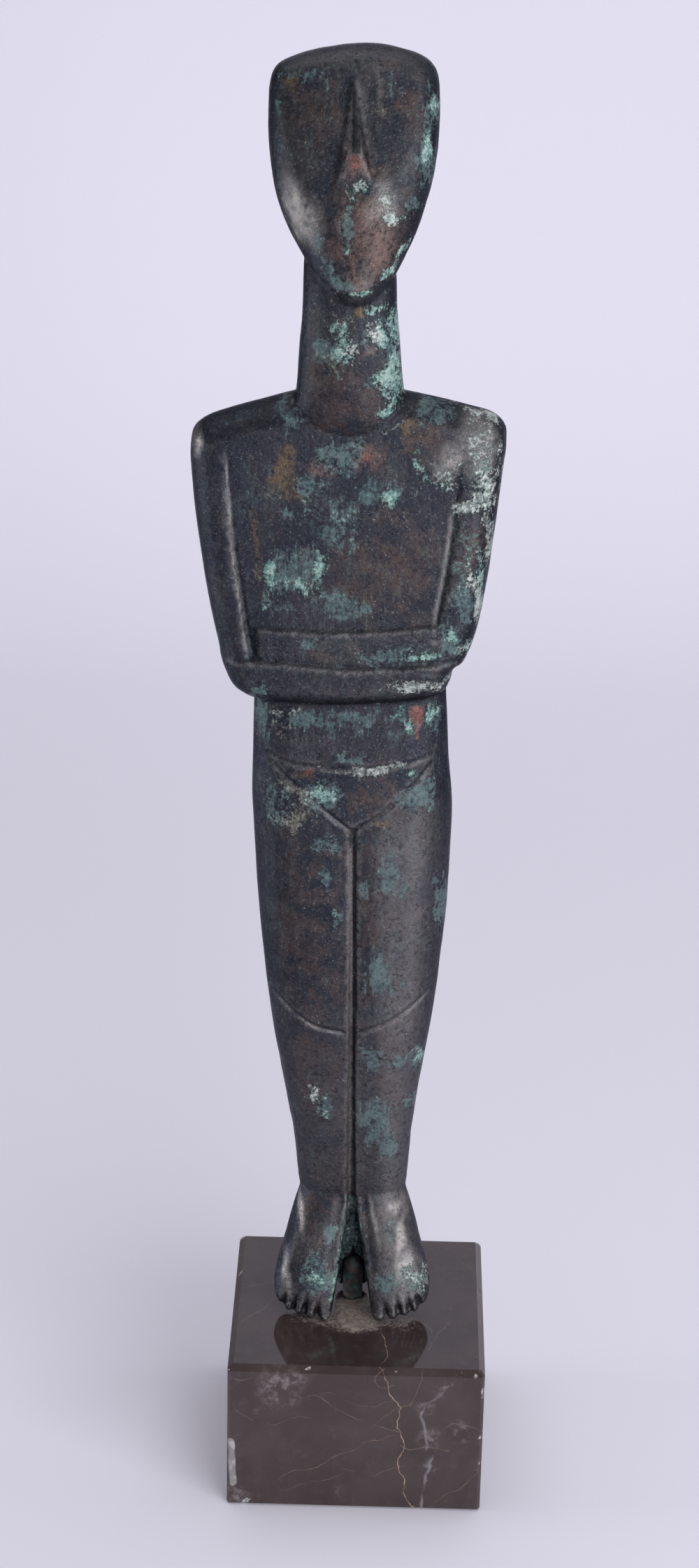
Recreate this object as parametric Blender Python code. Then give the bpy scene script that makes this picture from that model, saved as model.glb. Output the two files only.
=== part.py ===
"""A cast bronze idol of the folded-arm type, pinned upright on a small marble block.

Metres, +Z up, the figure faces -Y. The origin is the middle of the block's underside.
"""
import math

import bmesh
import bpy
import numpy as np
from mathutils import Matrix, Vector
from mathutils.geometry import delaunay_2d_cdt

# Driving dimensions in metres
FIGURE_HEIGHT = 0.298
FIGURE_LEAN_DEG = 1.15
FIGURE_OFFSET_X = -0.0015
BASE_WIDTH = 0.060
BASE_DEPTH = 0.060
BASE_HEIGHT = 0.0384
BASE_TOP_CHAMFER = 0.0014
BASE_SIDE_CHAMFER = 0.0008
BASE_FOOT_CHAMFER = 0.0006
PIN_DIAMETER = 0.0048
PIN_CLEARANCE = 0.0003
PIN_DEPTH_IN_BASE = 0.016
PIN_HEIGHT_ABOVE_BASE = 0.0105
PIN_SIDES = 20
PIN_DOME_STEPS = 5

# The figure is drawn on a canon of 298 units from the marble to the crown, which makes
# one unit a millimetre at the real height. Every number from here to the mesh steps is
# a share of the figure's height in those units, and its places are (x, height).
CANON = 298.0
UNIT = FIGURE_HEIGHT / CANON

# Mesh steps, in the same units
OUTLINE_STEP = 2.9
FIELD_STEP = 5.2
LINE_STEP = 3.0
LINE_MARGIN = 0.5
RIM_ANGLES_DEG = (24.0, 52.0, 90.0)


def hermite(t, span, start, start_slope, end, end_slope):
    """A cubic from start to end over a span, read at t from 0 to 1."""
    return ((2 * t ** 3 - 3 * t ** 2 + 1) * start + (t ** 3 - 2 * t ** 2 + t) * span * start_slope
            + (-2 * t ** 3 + 3 * t ** 2) * end + (t ** 3 - t ** 2) * span * end_slope)


def curve_through(points, step, closed=False):
    """Points about one step apart on a smooth curve through the given points."""
    knots = np.array(points, float)
    count = len(knots)
    spans = count if closed else count - 1
    samples = []
    for i in range(spans):
        if closed:
            p0, p1, p2, p3 = (knots[(i + k) % count] for k in (-1, 0, 1, 2))
        else:
            p1, p2 = knots[i], knots[i + 1]
            p0 = knots[i - 1] if i else 2 * p1 - p2
            p3 = knots[i + 2] if i + 2 < count else 2 * p2 - p1
        pieces = max(1, int(math.ceil(np.linalg.norm(p2 - p1) / step)))
        chords = [max(np.linalg.norm(b - a) ** 0.5, 1e-6) for a, b in ((p0, p1), (p1, p2), (p2, p3))]
        start = (p1 - p0) / chords[0] - (p2 - p0) / (chords[0] + chords[1]) + (p2 - p1) / chords[1]
        end = (p2 - p1) / chords[1] - (p3 - p1) / (chords[1] + chords[2]) + (p3 - p2) / chords[2]
        for k in range(pieces):
            t = k / pieces
            samples.append(hermite(t, chords[1], p1, start, p2, end))
    if not closed:
        samples.append(knots[-1])
    return np.array(samples)


def profile(*stations):
    """A smooth function of height through (height, value) stations, with no overshoot."""
    at = np.array([s[0] for s in stations], float)
    value = np.array([s[1] for s in stations], float)
    rise = np.diff(value) / np.diff(at)
    slope = np.concatenate([rise[:1], np.zeros(len(at) - 2), rise[-1:]])
    for k in range(1, len(at) - 1):
        if rise[k - 1] * rise[k] > 0:
            slope[k] = 2 * rise[k - 1] * rise[k] / (rise[k - 1] + rise[k])

    def read(height):
        h = np.clip(height, at[0], at[-1])
        i = np.clip(np.searchsorted(at, h, side="right") - 1, 0, len(at) - 2)
        span = at[i + 1] - at[i]
        return hermite((h - at[i]) / span, span, value[i], slope[i], value[i + 1], slope[i + 1])
    return read


def soft_step(value, low, high):
    t = np.clip((value - low) / (high - low), 0.0, 1.0)
    return t * t * (3 - 2 * t)


def nearest_on_path(points, path, closed=False):
    """Distance from each point to a path, and how far along the path that is, 0 to 1."""
    ends = np.roll(path, -1, axis=0) if closed else path[1:]
    starts = path if closed else path[:-1]
    run = ends - starts
    length = np.maximum(np.linalg.norm(run, axis=1), 1e-9)
    before = np.concatenate([[0.0], np.cumsum(length)])
    best = np.full(len(points), np.inf)
    along = np.zeros(len(points))
    for k in range(len(starts)):
        offset = points - starts[k]
        t = np.clip(offset @ run[k] / length[k] ** 2, 0.0, 1.0)
        distance = np.linalg.norm(offset - t[:, None] * run[k], axis=1)
        nearer = distance < best
        best[nearer] = distance[nearer]
        along[nearer] = (before[k] + t[nearer] * length[k]) / before[-1]
    return best, along


def inside(points, outline):
    """Which points lie inside a closed outline."""
    crossings = np.zeros(len(points), int)
    for (x1, z1), (x2, z2) in zip(outline, np.roll(outline, -1, axis=0)):
        if z1 != z2:
            spans = (z1 > points[:, 1]) != (z2 > points[:, 1])
            crossings += spans & (points[:, 0] < x1 + (points[:, 1] - z1) * (x2 - x1) / (z2 - z1))
    return crossings % 2 == 1


class Groove:
    """A V-shaped cut along a path. Width and depth change evenly from start to end."""

    def __init__(self, points, half_width, depth):
        self.path = curve_through(points, LINE_STEP)
        self.half_width = half_width
        self.depth = depth

    def cut(self, places):
        distance, along = nearest_on_path(places, self.path)
        half_width = np.interp(along, (0, 1), self.half_width)
        depth = np.interp(along, (0, 1), self.depth)
        return depth * np.clip(1 - distance / half_width, 0.0, 1.0)

    def lines(self):
        run = np.gradient(self.path, axis=0)
        run /= np.linalg.norm(run, axis=1)[:, None]
        side = np.column_stack([-run[:, 1], run[:, 0]])
        share = np.linspace(0, 1, len(self.path))
        offset = side * np.interp(share, (0, 1), self.half_width)[:, None]
        return [self.path, self.path + offset, self.path - offset]


def offset_rings(outline, rim):
    """Points inside the outline where the rounded rim turns by each of the rim angles."""
    run = np.roll(outline, -1, axis=0) - np.roll(outline, 1, axis=0)
    run /= np.linalg.norm(run, axis=1)[:, None]
    inward = np.column_stack([-run[:, 1], run[:, 0]])
    rings = []
    for angle in RIM_ANGLES_DEG:
        reach = rim * (1 - math.cos(math.radians(angle)))
        ring = outline + inward * (reach[:, None] if np.ndim(reach) else reach)
        distance, _ = nearest_on_path(ring, outline, closed=True)
        rings.append(ring[distance > 0.93 * reach])
    return rings


def hex_field(low, high, step):
    rows = np.arange(low[1], high[1] + step, step * math.sqrt(0.75))
    columns = np.arange(low[0] - step, high[0] + step, step)
    return np.array([(x + (k % 2) * step / 2, z) for k, z in enumerate(rows) for x in columns])


def thin_out(candidates, kept, gap):
    """The candidates that stay at least a gap away from what is kept already."""
    if not len(candidates):
        return candidates
    nearest = np.full(len(candidates), np.inf)
    for point in kept:
        nearest = np.minimum(nearest, np.linalg.norm(candidates - point, axis=1))
    return candidates[nearest > gap]


def triangulate(outline, rim, lines, fineness):
    """Triangles inside an outline that follow its rim and every carved line."""
    field_step = FIELD_STEP * fineness
    points = [tuple(p) for p in outline]
    edges = [(i, (i + 1) % len(outline)) for i in range(len(outline))]
    for line in lines:
        clear = nearest_on_path(line, outline, closed=True)[0] > LINE_MARGIN * fineness
        clear &= inside(line, outline)
        for i in np.flatnonzero(clear):
            if i and clear[i - 1]:
                edges.append((len(points) - 1, len(points)))
            points.append(tuple(line[i]))
    kept = np.array(points)
    for ring in offset_rings(outline, rim):
        ring = thin_out(ring, kept[len(outline):], 0.35 * OUTLINE_STEP * fineness)
        kept = np.vstack([kept, ring])
    field = hex_field(outline.min(axis=0), outline.max(axis=0), field_step)
    field = thin_out(field, kept, 0.62 * field_step)
    kept = np.vstack([kept, field])
    result = delaunay_2d_cdt([Vector(p) for p in kept], edges, [list(range(len(outline)))], 1, 1e-5)
    places, _, faces, origins = result[:4]
    rim_of = [min((k for k in origin if k < len(outline)), default=-1) for origin in origins]
    return np.array(places), [tuple(face) for face in faces], rim_of


class Form:
    """A closed body drawn as an outline with a front and a back surface over it."""

    def __init__(self, outline, middle, front, back, front_rim, back_rim,
                 front_lines=(), back_lines=(), fineness=1.0):
        self.outline = outline
        self.fineness = fineness
        self.middle = middle
        self.surfaces = ((front, front_rim, front_lines), (back, back_rim, back_lines))

    def depth(self, places, surface, rim):
        distance, _ = nearest_on_path(places, self.outline, closed=True)
        inward = np.clip(distance / rim(places), 0.0, 1.0)
        roundness = np.sqrt(1 - (1 - inward) ** 2)
        middle = self.middle(places)
        return middle + (surface(places) - middle) * roundness

    def mesh(self, name, place):
        vertices = [Vector((x, self.middle(np.array([[x, z]]))[0], z)) for x, z in self.outline]
        faces = []
        for side, (surface, rim, lines) in enumerate(self.surfaces):
            places, triangles, rim_of = triangulate(self.outline, rim(self.outline), lines, self.fineness)
            depth = self.depth(places, surface, rim)
            index = []
            for k, (x, z) in enumerate(places):
                if rim_of[k] >= 0:
                    index.append(rim_of[k])
                else:
                    index.append(len(vertices))
                    vertices.append(Vector((x, depth[k], z)))
            for a, b, c in triangles:
                face = (index[a], index[b], index[c])
                faces.append(face if side == 0 else face[::-1])
        mesh = bpy.data.meshes.new(name)
        mesh.from_pydata([place @ (v * UNIT) for v in vertices], [], faces)
        mesh.update()
        return mesh


def add_object(name, mesh):
    piece = bpy.data.objects.new(name, mesh)
    bpy.context.scene.collection.objects.link(piece)
    return piece


# Legs and waist: one slab from the ankles to under the folded arms
LEG_HALF_WIDTH = profile((17, 9.6), (24, 11.4), (30, 12.8), (41, 13.75), (53, 15.4), (64, 17.15), (75, 18.7),
                         (86, 20.0), (102, 21.5), (118, 22.4), (128, 22.65), (140, 22.1), (150, 21.7),
                         (158, 21.4), (168, 19.0))
LEG_MIDDLE_X = profile((17, 0.0), (38, 0.0), (58, -0.3), (84, -0.1), (122, 0.0), (142, -0.5), (168, -0.5))
LEG_FRONT = profile((17, 4.6), (23, 3.0), (28, 0.6), (32, 0.1), (45, -1.0), (60, -2.2), (76, -3.8),
                    (100, -4.2), (125, -4.4), (140, -3.8), (152, -2.8), (168, -2.0))
LEG_BACK = profile((17, 10.0), (24, 11.6), (30, 12.8), (45, 15.0), (58, 16.2), (76, 14.6), (96, 16.6),
                   (124, 18.6), (138, 17.6), (152, 13.2), (160, 11.6), (168, 10.0))
LEG_BOTTOM = 17.0
LEG_TOP = 168.0
CLEFT_TOP = 125.0


def leg_outline():
    heights = np.linspace(LEG_BOTTOM, LEG_TOP, int((LEG_TOP - LEG_BOTTOM) / OUTLINE_STEP))
    width = LEG_HALF_WIDTH(heights)
    across = np.linspace(1, -1, int(2 * LEG_HALF_WIDTH(LEG_TOP) / OUTLINE_STEP))[1:-1]
    right = np.column_stack([width, heights])
    top = np.column_stack([across * LEG_HALF_WIDTH(LEG_TOP), np.full(len(across), LEG_TOP)])
    bottom = np.column_stack([-across * LEG_HALF_WIDTH(LEG_BOTTOM), np.full(len(across), LEG_BOTTOM)])
    outline = np.vstack([right, top, (right * (-1, 1))[::-1], bottom])
    outline[:, 0] += LEG_MIDDLE_X(outline[:, 1])
    return outline


CLEFT = Groove([(0.2, CLEFT_TOP), (0.2, 90), (-0.1, 60), (-0.3, 27)], (0.9, 2.0), (0.9, 3.4))
BELLY_LINE = Groove([(-19.2, 142.8), (-12, 140.9), (-0.5, 139.9), (10.8, 141.0), (18.2, 142.6)],
                    (1.0, 1.0), (0.55, 0.55))
LOINS = [Groove([(-18.6, 141.4), (-12.6, 136.0), (-6.2, 130.3), (-0.6, 125.6)], (0.9, 0.9), (0.5, 0.7)),
         Groove([(18.0, 140.6), (12.4, 134.6), (7.0, 129.6), (0.9, 125.6)], (0.9, 0.9), (0.5, 0.7))]
KNEES = [Groove([(-18.2, 83.4), (-12.9, 79.3), (-8.7, 76.3), (-1.6, 74.2)], (0.8, 0.8), (0.5, 0.6)),
         Groove([(18.2, 84.2), (13.5, 80.7), (8.4, 77.2), (1.6, 74.2)], (0.8, 0.8), (0.5, 0.6))]
LEG_CARVING = [CLEFT, BELLY_LINE] + LOINS + KNEES
BACK_CLEFT = Groove([(0, 131), (0, 100), (0, 60), (0, 28)], (1.4, 2.0), (1.6, 3.0))


def leg_share(places):
    return (places[:, 0] - LEG_MIDDLE_X(places[:, 1])) / LEG_HALF_WIDTH(places[:, 1])


def leg_front(places):
    share = leg_share(places)
    below_loins = 1 - soft_step(places[:, 1], 112, 132)
    each_leg = 0.7 * below_loins * (1 - (2 * np.abs(share) - 1) ** 2)
    front = LEG_FRONT(places[:, 1]) + 1.5 * share ** 2 - each_leg
    return front + np.max([groove.cut(places) for groove in LEG_CARVING], axis=0)


def leg_back(places):
    share = leg_share(places)
    below_seat = 1 - soft_step(places[:, 1], 124, 142)
    each_leg = 1.6 * below_seat * (1 - (2 * np.abs(share) - 1) ** 2)
    return LEG_BACK(places[:, 1]) - 2.6 * share ** 2 - 0.8 * below_seat + each_leg - BACK_CLEFT.cut(places)


def leg_form():
    def rim(places):
        return 0.44 * LEG_HALF_WIDTH(places[:, 1])

    def middle(places):
        return 0.5 * (LEG_FRONT(places[:, 1]) + LEG_BACK(places[:, 1])) - 0.4

    lines = [line for groove in LEG_CARVING for line in groove.lines()]
    return Form(leg_outline(), middle, leg_front, leg_back, rim, rim, lines, BACK_CLEFT.lines())


# Torso: shoulders, upper arms and the two folded forearms in one slab
TORSO_HALF_WIDTH = 34.0
TORSO_OUTLINE = [(-22.0, 155.2), (-10, 153.9), (4, 153.9), (17.5, 155.6), (21.0, 157.4), (22.0, 159.6),
                 (22.6, 162.0), (24.6, 163.6), (26.2, 166.8), (28.1, 173.6), (29.8, 183.4), (31.3, 195.0),
                 (32.6, 206.0), (33.4, 213.0), (33.1, 216.8), (30.8, 219.4), (25.7, 221.1), (18.0, 222.9),
                 (11.6, 224.3), (6, 225.6), (-7, 225.6), (-12.6, 224.3), (-19.0, 222.5), (-25.7, 220.6),
                 (-31.6, 218.5), (-34.3, 216.3), (-35.1, 212.5), (-34.7, 202.6), (-33.5, 191.0),
                 (-31.8, 178.4), (-30.0, 168.6), (-28.6, 162.0), (-26.4, 157.7)]
TORSO_MIDDLE = profile((153, 4.2), (175, 4.2), (200, 4.8), (227, 6.0))
CHEST_FRONT = profile((153, -4.2), (166, -4.2), (180, -3.9), (200, -3.4), (214, -2.6), (227, -1.4))
TORSO_BACK = profile((153, 15.2), (168, 14.2), (195, 14.4), (212, 14.2), (227, 12.6))
TORSO_RIM = 5.4
ARM_RISE = 0.9
UPPER_FOREARM_RISE = 0.9
LOWER_FOREARM_RISE = 1.7
LEFT_ARM_EDGE = [(-26.9, 213.3), (-25.3, 190), (-24.1, 181.9), (-22.9, 172.7), (-22.0, 167.2)]
RIGHT_ARM_EDGE = [(23.5, 211.0), (22.1, 195.2), (20.5, 184.1), (18.9, 175.4)]
FOREARM_TOP = [(-20.4, 173.6), (-10, 172.9), (0, 172.8), (10, 173.4), (17.6, 174.2)]
FOREARM_SPLIT = [(-21.0, 166.3), (-13.0, 165.6), (-0.7, 164.6), (10.0, 165.0), (22.6, 165.9)]
LEFT_ARM_GROOVE = Groove(LEFT_ARM_EDGE, (0.4, 1.7), (0.3, 1.5))
RIGHT_ARM_GROOVE = Groove(RIGHT_ARM_EDGE, (0.4, 1.5), (0.3, 1.3))
FOREARM_TOP_GROOVE = Groove(FOREARM_TOP, (0.8, 0.8), (0.45, 0.45))
FOREARM_SPLIT_GROOVE = Groove(FOREARM_SPLIT, (0.9, 0.9), (0.7, 0.7))
NECKLINE = Groove([(-12.5, 226.0), (-10.0, 222.1), (-6.6, 218.4), (-0.7, 217.0), (4.4, 218.1), (7.4, 220.0),
                   (10.4, 223.1), (11.6, 226.0)], (0.8, 0.8), (0.5, 0.5))
TORSO_CARVING = [NECKLINE, LEFT_ARM_GROOVE, RIGHT_ARM_GROOVE, FOREARM_TOP_GROOVE, FOREARM_SPLIT_GROOVE]
SPINE = Groove([(0, 214), (0, 190), (0, 160)], (1.6, 1.6), (0.8, 0.8))
BACK_ARM_GROOVES = [Groove([(21.5, 206), (20.4, 190), (18.6, 168)], (0.8, 1.4), (0.4, 1.0)),
                    Groove([(-23.0, 206), (-21.8, 190), (-19.8, 168)], (0.8, 1.4), (0.4, 1.0))]
BACK_CARVING = [SPINE] + BACK_ARM_GROOVES


def side_of(points):
    """A function that gives the x of a steep carved edge at each height."""
    ordered = sorted((h, x) for x, h in points)
    return lambda height: np.interp(height, [h for h, _ in ordered], [x for _, x in ordered])


def level_of(points):
    """A function that gives the height of a flat carved edge at each x."""
    return lambda x: np.interp(x, [p[0] for p in points], [p[1] for p in points])


def torso_front(places):
    x, height = places[:, 0], places[:, 1]
    below_shoulder = 1 - soft_step(height, 196, 216)
    left_arm = soft_step(side_of(LEFT_ARM_EDGE)(height) - x, -0.4, 1.2)
    right_arm = soft_step(x - side_of(RIGHT_ARM_EDGE)(height), -0.4, 1.2)
    arms = ARM_RISE * below_shoulder * np.maximum(left_arm, right_arm)
    upper = UPPER_FOREARM_RISE * soft_step(level_of(FOREARM_TOP)(x) - height, -0.6, 0.8)
    upper = upper * soft_step(x, -21.5, -20.0)
    lower = LOWER_FOREARM_RISE * soft_step(level_of(FOREARM_SPLIT)(x) - height, -0.4, 0.9)
    rise = np.maximum.reduce([arms, upper, lower])
    fullness = 1.2 * (x / TORSO_HALF_WIDTH) ** 2
    carved = np.max([groove.cut(places) for groove in TORSO_CARVING], axis=0)
    return CHEST_FRONT(height) + fullness - rise + carved


def torso_back(places):
    fullness = 2.2 * (places[:, 0] / TORSO_HALF_WIDTH) ** 2
    carved = np.max([groove.cut(places) for groove in BACK_CARVING], axis=0)
    return TORSO_BACK(places[:, 1]) - fullness - carved


def torso_form():
    def rim(places):
        return np.full(len(places), TORSO_RIM)

    outline = curve_through(TORSO_OUTLINE, OUTLINE_STEP, closed=True)
    lines = [line for groove in TORSO_CARVING for line in groove.lines()]
    return Form(outline, lambda places: TORSO_MIDDLE(places[:, 1]), torso_front, torso_back, rim, rim,
                lines, [line for groove in BACK_CARVING for line in groove.lines()])


# Neck: a round shaft that runs from inside the chest to inside the head
NECK_HALF_WIDTH = profile((206, 10.5), (214, 11.2), (222, 11.9), (228, 11.3), (236, 10.7), (244, 10.0),
                          (262, 9.6))
NECK_FRONT = profile((206, 4.0), (212, 1.2), (216, -1.6), (218, -3.0), (221, -3.9), (228, -4.7),
                     (240, -5.2), (248, -4.6), (255, -1.0), (262, 3.0))
NECK_BACK = profile((206, 11.0), (220, 12.0), (230, 12.4), (244, 12.0), (262, 12.5))
NECK_MIDDLE_X = -0.5
NECK_LEVELS = (206, 210, 214, 216, 218, 220, 222, 225, 229, 234, 239, 244, 249, 255, 262)
NECK_SQUARENESS = 2.3
SHAFT_SIDES = 30


def bulge(value, squareness):
    return math.copysign(abs(value) ** (2 / squareness), value)


def shaft_mesh(name, levels, half_width, front, back, middle_x, squareness):
    """A closed upright shaft with a rounded section at each level."""
    vertices = []
    for height in levels:
        half_depth = 0.5 * (back(height) - front(height))
        centre = 0.5 * (back(height) + front(height))
        for k in range(SHAFT_SIDES):
            turn = 2 * math.pi * k / SHAFT_SIDES
            across = bulge(math.cos(turn), squareness) * half_width(height)
            deep = bulge(math.sin(turn), squareness) * half_depth
            vertices.append(Vector((middle_x + across, centre + deep, height)))
    faces = [tuple(range(SHAFT_SIDES))[::-1]]
    for row in range(len(levels) - 1):
        for k in range(SHAFT_SIDES):
            a, b = row * SHAFT_SIDES + k, row * SHAFT_SIDES + (k + 1) % SHAFT_SIDES
            faces.append((a, b, b + SHAFT_SIDES, a + SHAFT_SIDES))
    faces.append(tuple((len(levels) - 1) * SHAFT_SIDES + k for k in range(SHAFT_SIDES)))
    mesh = bpy.data.meshes.new(name)
    mesh.from_pydata([v * UNIT for v in vertices], [], faces)
    mesh.update()
    return mesh


def neck_mesh(name):
    return shaft_mesh(name, NECK_LEVELS, NECK_HALF_WIDTH, NECK_FRONT, NECK_BACK, NECK_MIDDLE_X,
                      NECK_SQUARENESS)


# Head: a shield tilted back, in its own frame with the chin at height 0 and the face near depth 0
HEAD_TILT_DEG = 18.0
CHIN_DEPTH = -8.2
CHIN_HEIGHT = 247.4
HEAD_HALF_WIDTH = 17.8
HEAD_OUTLINE = [(0.5, -1.4), (4.6, 0.0), (7.8, 4.2), (11.1, 9.9), (13.8, 16.0), (16.1, 22.8), (17.6, 30.0),
                (18.2, 36.5), (18.2, 43.5), (17.8, 48.0), (16.2, 50.8), (12.0, 53.0), (4.0, 54.5),
                (-4.0, 54.0), (-11.6, 52.2), (-15.9, 50.1), (-17.4, 47.2), (-17.8, 42.5), (-17.9, 36.5),
                (-17.3, 29.5), (-16.0, 22.6), (-13.5, 16.0), (-10.2, 9.9), (-7.0, 4.4), (-3.5, 0.2)]
HEAD_MIDDLE = profile((-2, 7.0), (10, 8.0), (30, 8.6), (54, 8.6))
HEAD_BACK = profile((-2, 11.0), (8, 14.0), (20, 16.6), (36, 18.0), (54, 16.5))
NOSE_TOP = ((-0.3, 43.8, 0.0), (0.5, 43.8, 0.0))
NOSE_TIP = ((-0.3, 31.2, 2.7), (1.9, 31.2, 2.7))
NOSE_BASE = ((-3.6, 23.4, 0.0), (4.5, 23.8, 0.0))


def plane_height(a, b, c, places):
    """Height over (x, height) places of the plane through three (x, height, rise) points."""
    a, b, c = np.array(a), np.array(b), np.array(c)
    normal = np.cross(b - a, c - a)
    return a[2] - ((places - a[:2]) @ normal[:2]) / normal[2]


def nose_rise(places):
    """A long wedge: two flanks, a narrow ridge between them and a blunt underside."""
    flanks = [plane_height(NOSE_TOP[k], NOSE_TIP[k], NOSE_BASE[k], places) for k in (0, 1)]
    ridge = plane_height(NOSE_TOP[0], NOSE_TIP[0], NOSE_TIP[1], places)
    under = plane_height(NOSE_TIP[0], NOSE_BASE[0], NOSE_BASE[1], places)
    return np.clip(np.minimum.reduce(flanks + [ridge, under]), 0.0, None)


def head_front(places):
    x, height = places[:, 0], places[:, 1]
    jaw = 1 - soft_step(height, 6, 30)
    fullness = (1.4 + 2.2 * jaw) * (x / HEAD_HALF_WIDTH) ** 2
    return fullness - nose_rise(places)


def head_back(places):
    return HEAD_BACK(places[:, 1]) - 3.0 * (places[:, 0] / HEAD_HALF_WIDTH) ** 2


def head_form():
    def front_rim(places):
        cheek = soft_step(places[:, 1], 2, 14) * (1 - soft_step(places[:, 1], 20, 38))
        return 5.2 + 2.6 * cheek + 1.2 * soft_step(places[:, 1], 44, 54)

    def back_rim(places):
        return np.full(len(places), 8.0)

    outline = curve_through(HEAD_OUTLINE, OUTLINE_STEP, closed=True)
    (top_a, top_b), (tip_a, tip_b), (base_a, base_b) = (
        [np.array(p[:2]) for p in pair] for pair in (NOSE_TOP, NOSE_TIP, NOSE_BASE))
    creases = [curve_through(pair, LINE_STEP) for pair in
               ((top_a, tip_a), (top_b, tip_b), (tip_a, tip_b), (tip_a, base_a), (tip_b, base_b),
                (base_a, top_a), (base_b, top_b), (base_a, base_b))]
    return Form(outline, lambda places: HEAD_MIDDLE(places[:, 1]), head_front, head_back,
                front_rim, back_rim, creases)


# Feet: a pair that points down and forward, in a frame that runs down from the ankle line
FOOT_TILT_DEG = 22.0
ANKLE_DEPTH = 0.0
ANKLE_HEIGHT = 29.2
FOOT_OUTLINE = [(1.6, 6.5), (1.5, -2), (2.2, -10), (3.2, -19), (4.2, -27.0), (4.8, -29.5), (6.3, -30.3),
                (7.7, -29.6), (8.2, -28.0), (8.8, -29.4), (9.9, -29.9), (10.9, -29.1), (11.2, -27.5),
                (11.7, -28.7), (12.6, -29.1), (13.5, -28.4), (13.9, -26.8), (14.3, -27.8), (15.2, -28.0),
                (15.9, -27.1), (16.1, -25.7), (16.7, -26.3), (17.7, -25.4), (18.4, -23.2), (18.5, -20),
                (17.6, -15.5), (15.9, -9.5), (14.2, -3), (13.2, 0.2), (12.0, 3.4), (10.4, 6.6), (8.4, 8.6),
                (3.4, 8.8)]
FOOT_BACK = profile((-30.5, 2.6), (-28, 5.0), (-21.5, 10.2), (-15.5, 14.6), (-12, 17.0), (-8, 17.2),
                    (-3, 14.8), (4, 11.0), (9, 7.0))
FOOT_FINENESS = 0.56
FOOT_OUTER_RIM = 1.8
TOE_SLITS = (((8.2, -28.2), (7.6, -24.6)), ((11.2, -27.7), (10.3, -23.4)),
             ((13.9, -27.0), (12.6, -22.8)), ((16.1, -25.9), (14.9, -22.4)))
TOE_SLIT_WIDTHS = (0.9, 0.35)
TOE_SLIT_DEPTHS = (1.5, 0.1)


def foot_form():
    slits = [Groove(ends, TOE_SLIT_WIDTHS, TOE_SLIT_DEPTHS) for ends in TOE_SLITS]

    def front(places):
        x, height = places[:, 0], places[:, 1]
        middle_x = 7.2 - 0.14 * height
        instep = 1.4 * ((x - middle_x) / 7.0) ** 2 - 0.5
        ankle = leg_front(np.column_stack([x, np.full(len(x), ANKLE_HEIGHT)]))
        share = soft_step(-height, 0, 12)
        toes = 0.7 * soft_step(-height, 23, 30)
        carved = np.max([slit.cut(places) for slit in slits], axis=0)
        return (1 - share) * ankle + share * instep + toes + carved

    def back(places):
        return FOOT_BACK(places[:, 1])

    def middle(places):
        return 0.42 * FOOT_BACK(places[:, 1])

    def rim(places):
        outer = soft_step(places[:, 0], 3, 9) * soft_step(places[:, 1], -14, -2)
        return np.clip(0.30 * FOOT_BACK(places[:, 1]), 1.6, 3.6) + outer * FOOT_OUTER_RIM

    outline = curve_through(FOOT_OUTLINE, FOOT_FINENESS * OUTLINE_STEP, closed=True)
    lines = [line for slit in slits for line in slit.lines()]
    return Form(outline, middle, front, back, rim, rim, lines, fineness=FOOT_FINENESS)


# Web: the bronze left between the heels, with the pin's bore below
WEB_LEVELS = (2.2, 3.0, 4.4, 7.0, 10.5, 14.5, 19.0, 25.0, 34.0)
WEB_HALF_WIDTH = profile((2.2, 3.2), (3.0, 3.7), (4.4, 4.0), (10.5, 4.2), (34, 4.4))
WEB_FRONT = profile((2.2, 3.5), (3.0, 3.0), (34, 3.0))
WEB_BACK = profile((2.2, 8.2), (3.0, 9.0), (4.4, 9.6), (10.5, 10.8), (34, 10.8))
WEB_SQUARENESS = 4.0
PIN_BEHIND_ANKLE = 3.4


def web_mesh(name):
    return shaft_mesh(name, WEB_LEVELS, WEB_HALF_WIDTH, WEB_FRONT, WEB_BACK, 0.0, WEB_SQUARENESS)


def pin_middle():
    """Where the pin's axis meets the marble: under the front of the web."""
    return Vector((FIGURE_OFFSET_X, PIN_BEHIND_ANKLE * UNIT, BASE_HEIGHT))


def dome_rings(radius, top):
    turns = [0.5 * math.pi * k / PIN_DOME_STEPS for k in range(PIN_DOME_STEPS)]
    return [(radius * math.cos(turn), top - radius * (1 - math.sin(turn))) for turn in turns]


def round_bar(name, radius, bottom, top, domed):
    """A turned bar on the pin's axis, with a domed or a flat top."""
    middle = pin_middle()
    rings = [(radius, bottom)] + (dome_rings(radius, top) if domed else [(radius, top)])
    vertices, faces = [], []
    for r, z in rings:
        vertices += [(middle.x + r * math.cos(a), middle.y + r * math.sin(a), z)
                     for a in (2 * math.pi * k / PIN_SIDES for k in range(PIN_SIDES))]
    low, high = len(vertices), len(vertices) + 1
    vertices += [(middle.x, middle.y, bottom), (middle.x, middle.y, top)]
    last = (len(rings) - 1) * PIN_SIDES
    for k in range(PIN_SIDES):
        n = (k + 1) % PIN_SIDES
        faces.append((low, n, k))
        for row in range(len(rings) - 1):
            a = row * PIN_SIDES
            faces.append((a + k, a + n, a + n + PIN_SIDES, a + k + PIN_SIDES))
        faces.append((high, last + k, last + n))
    mesh = bpy.data.meshes.new(name)
    mesh.from_pydata(vertices, [], faces)
    mesh.update()
    return add_object(name, mesh)


def cut_or_join(target, tool, operation):
    modifier = target.modifiers.new(tool.name, "BOOLEAN")
    modifier.object = tool
    modifier.operation = operation
    modifier.solver = "EXACT"
    tool.hide_render = True
    tool.display_type = "WIRE"


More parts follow.
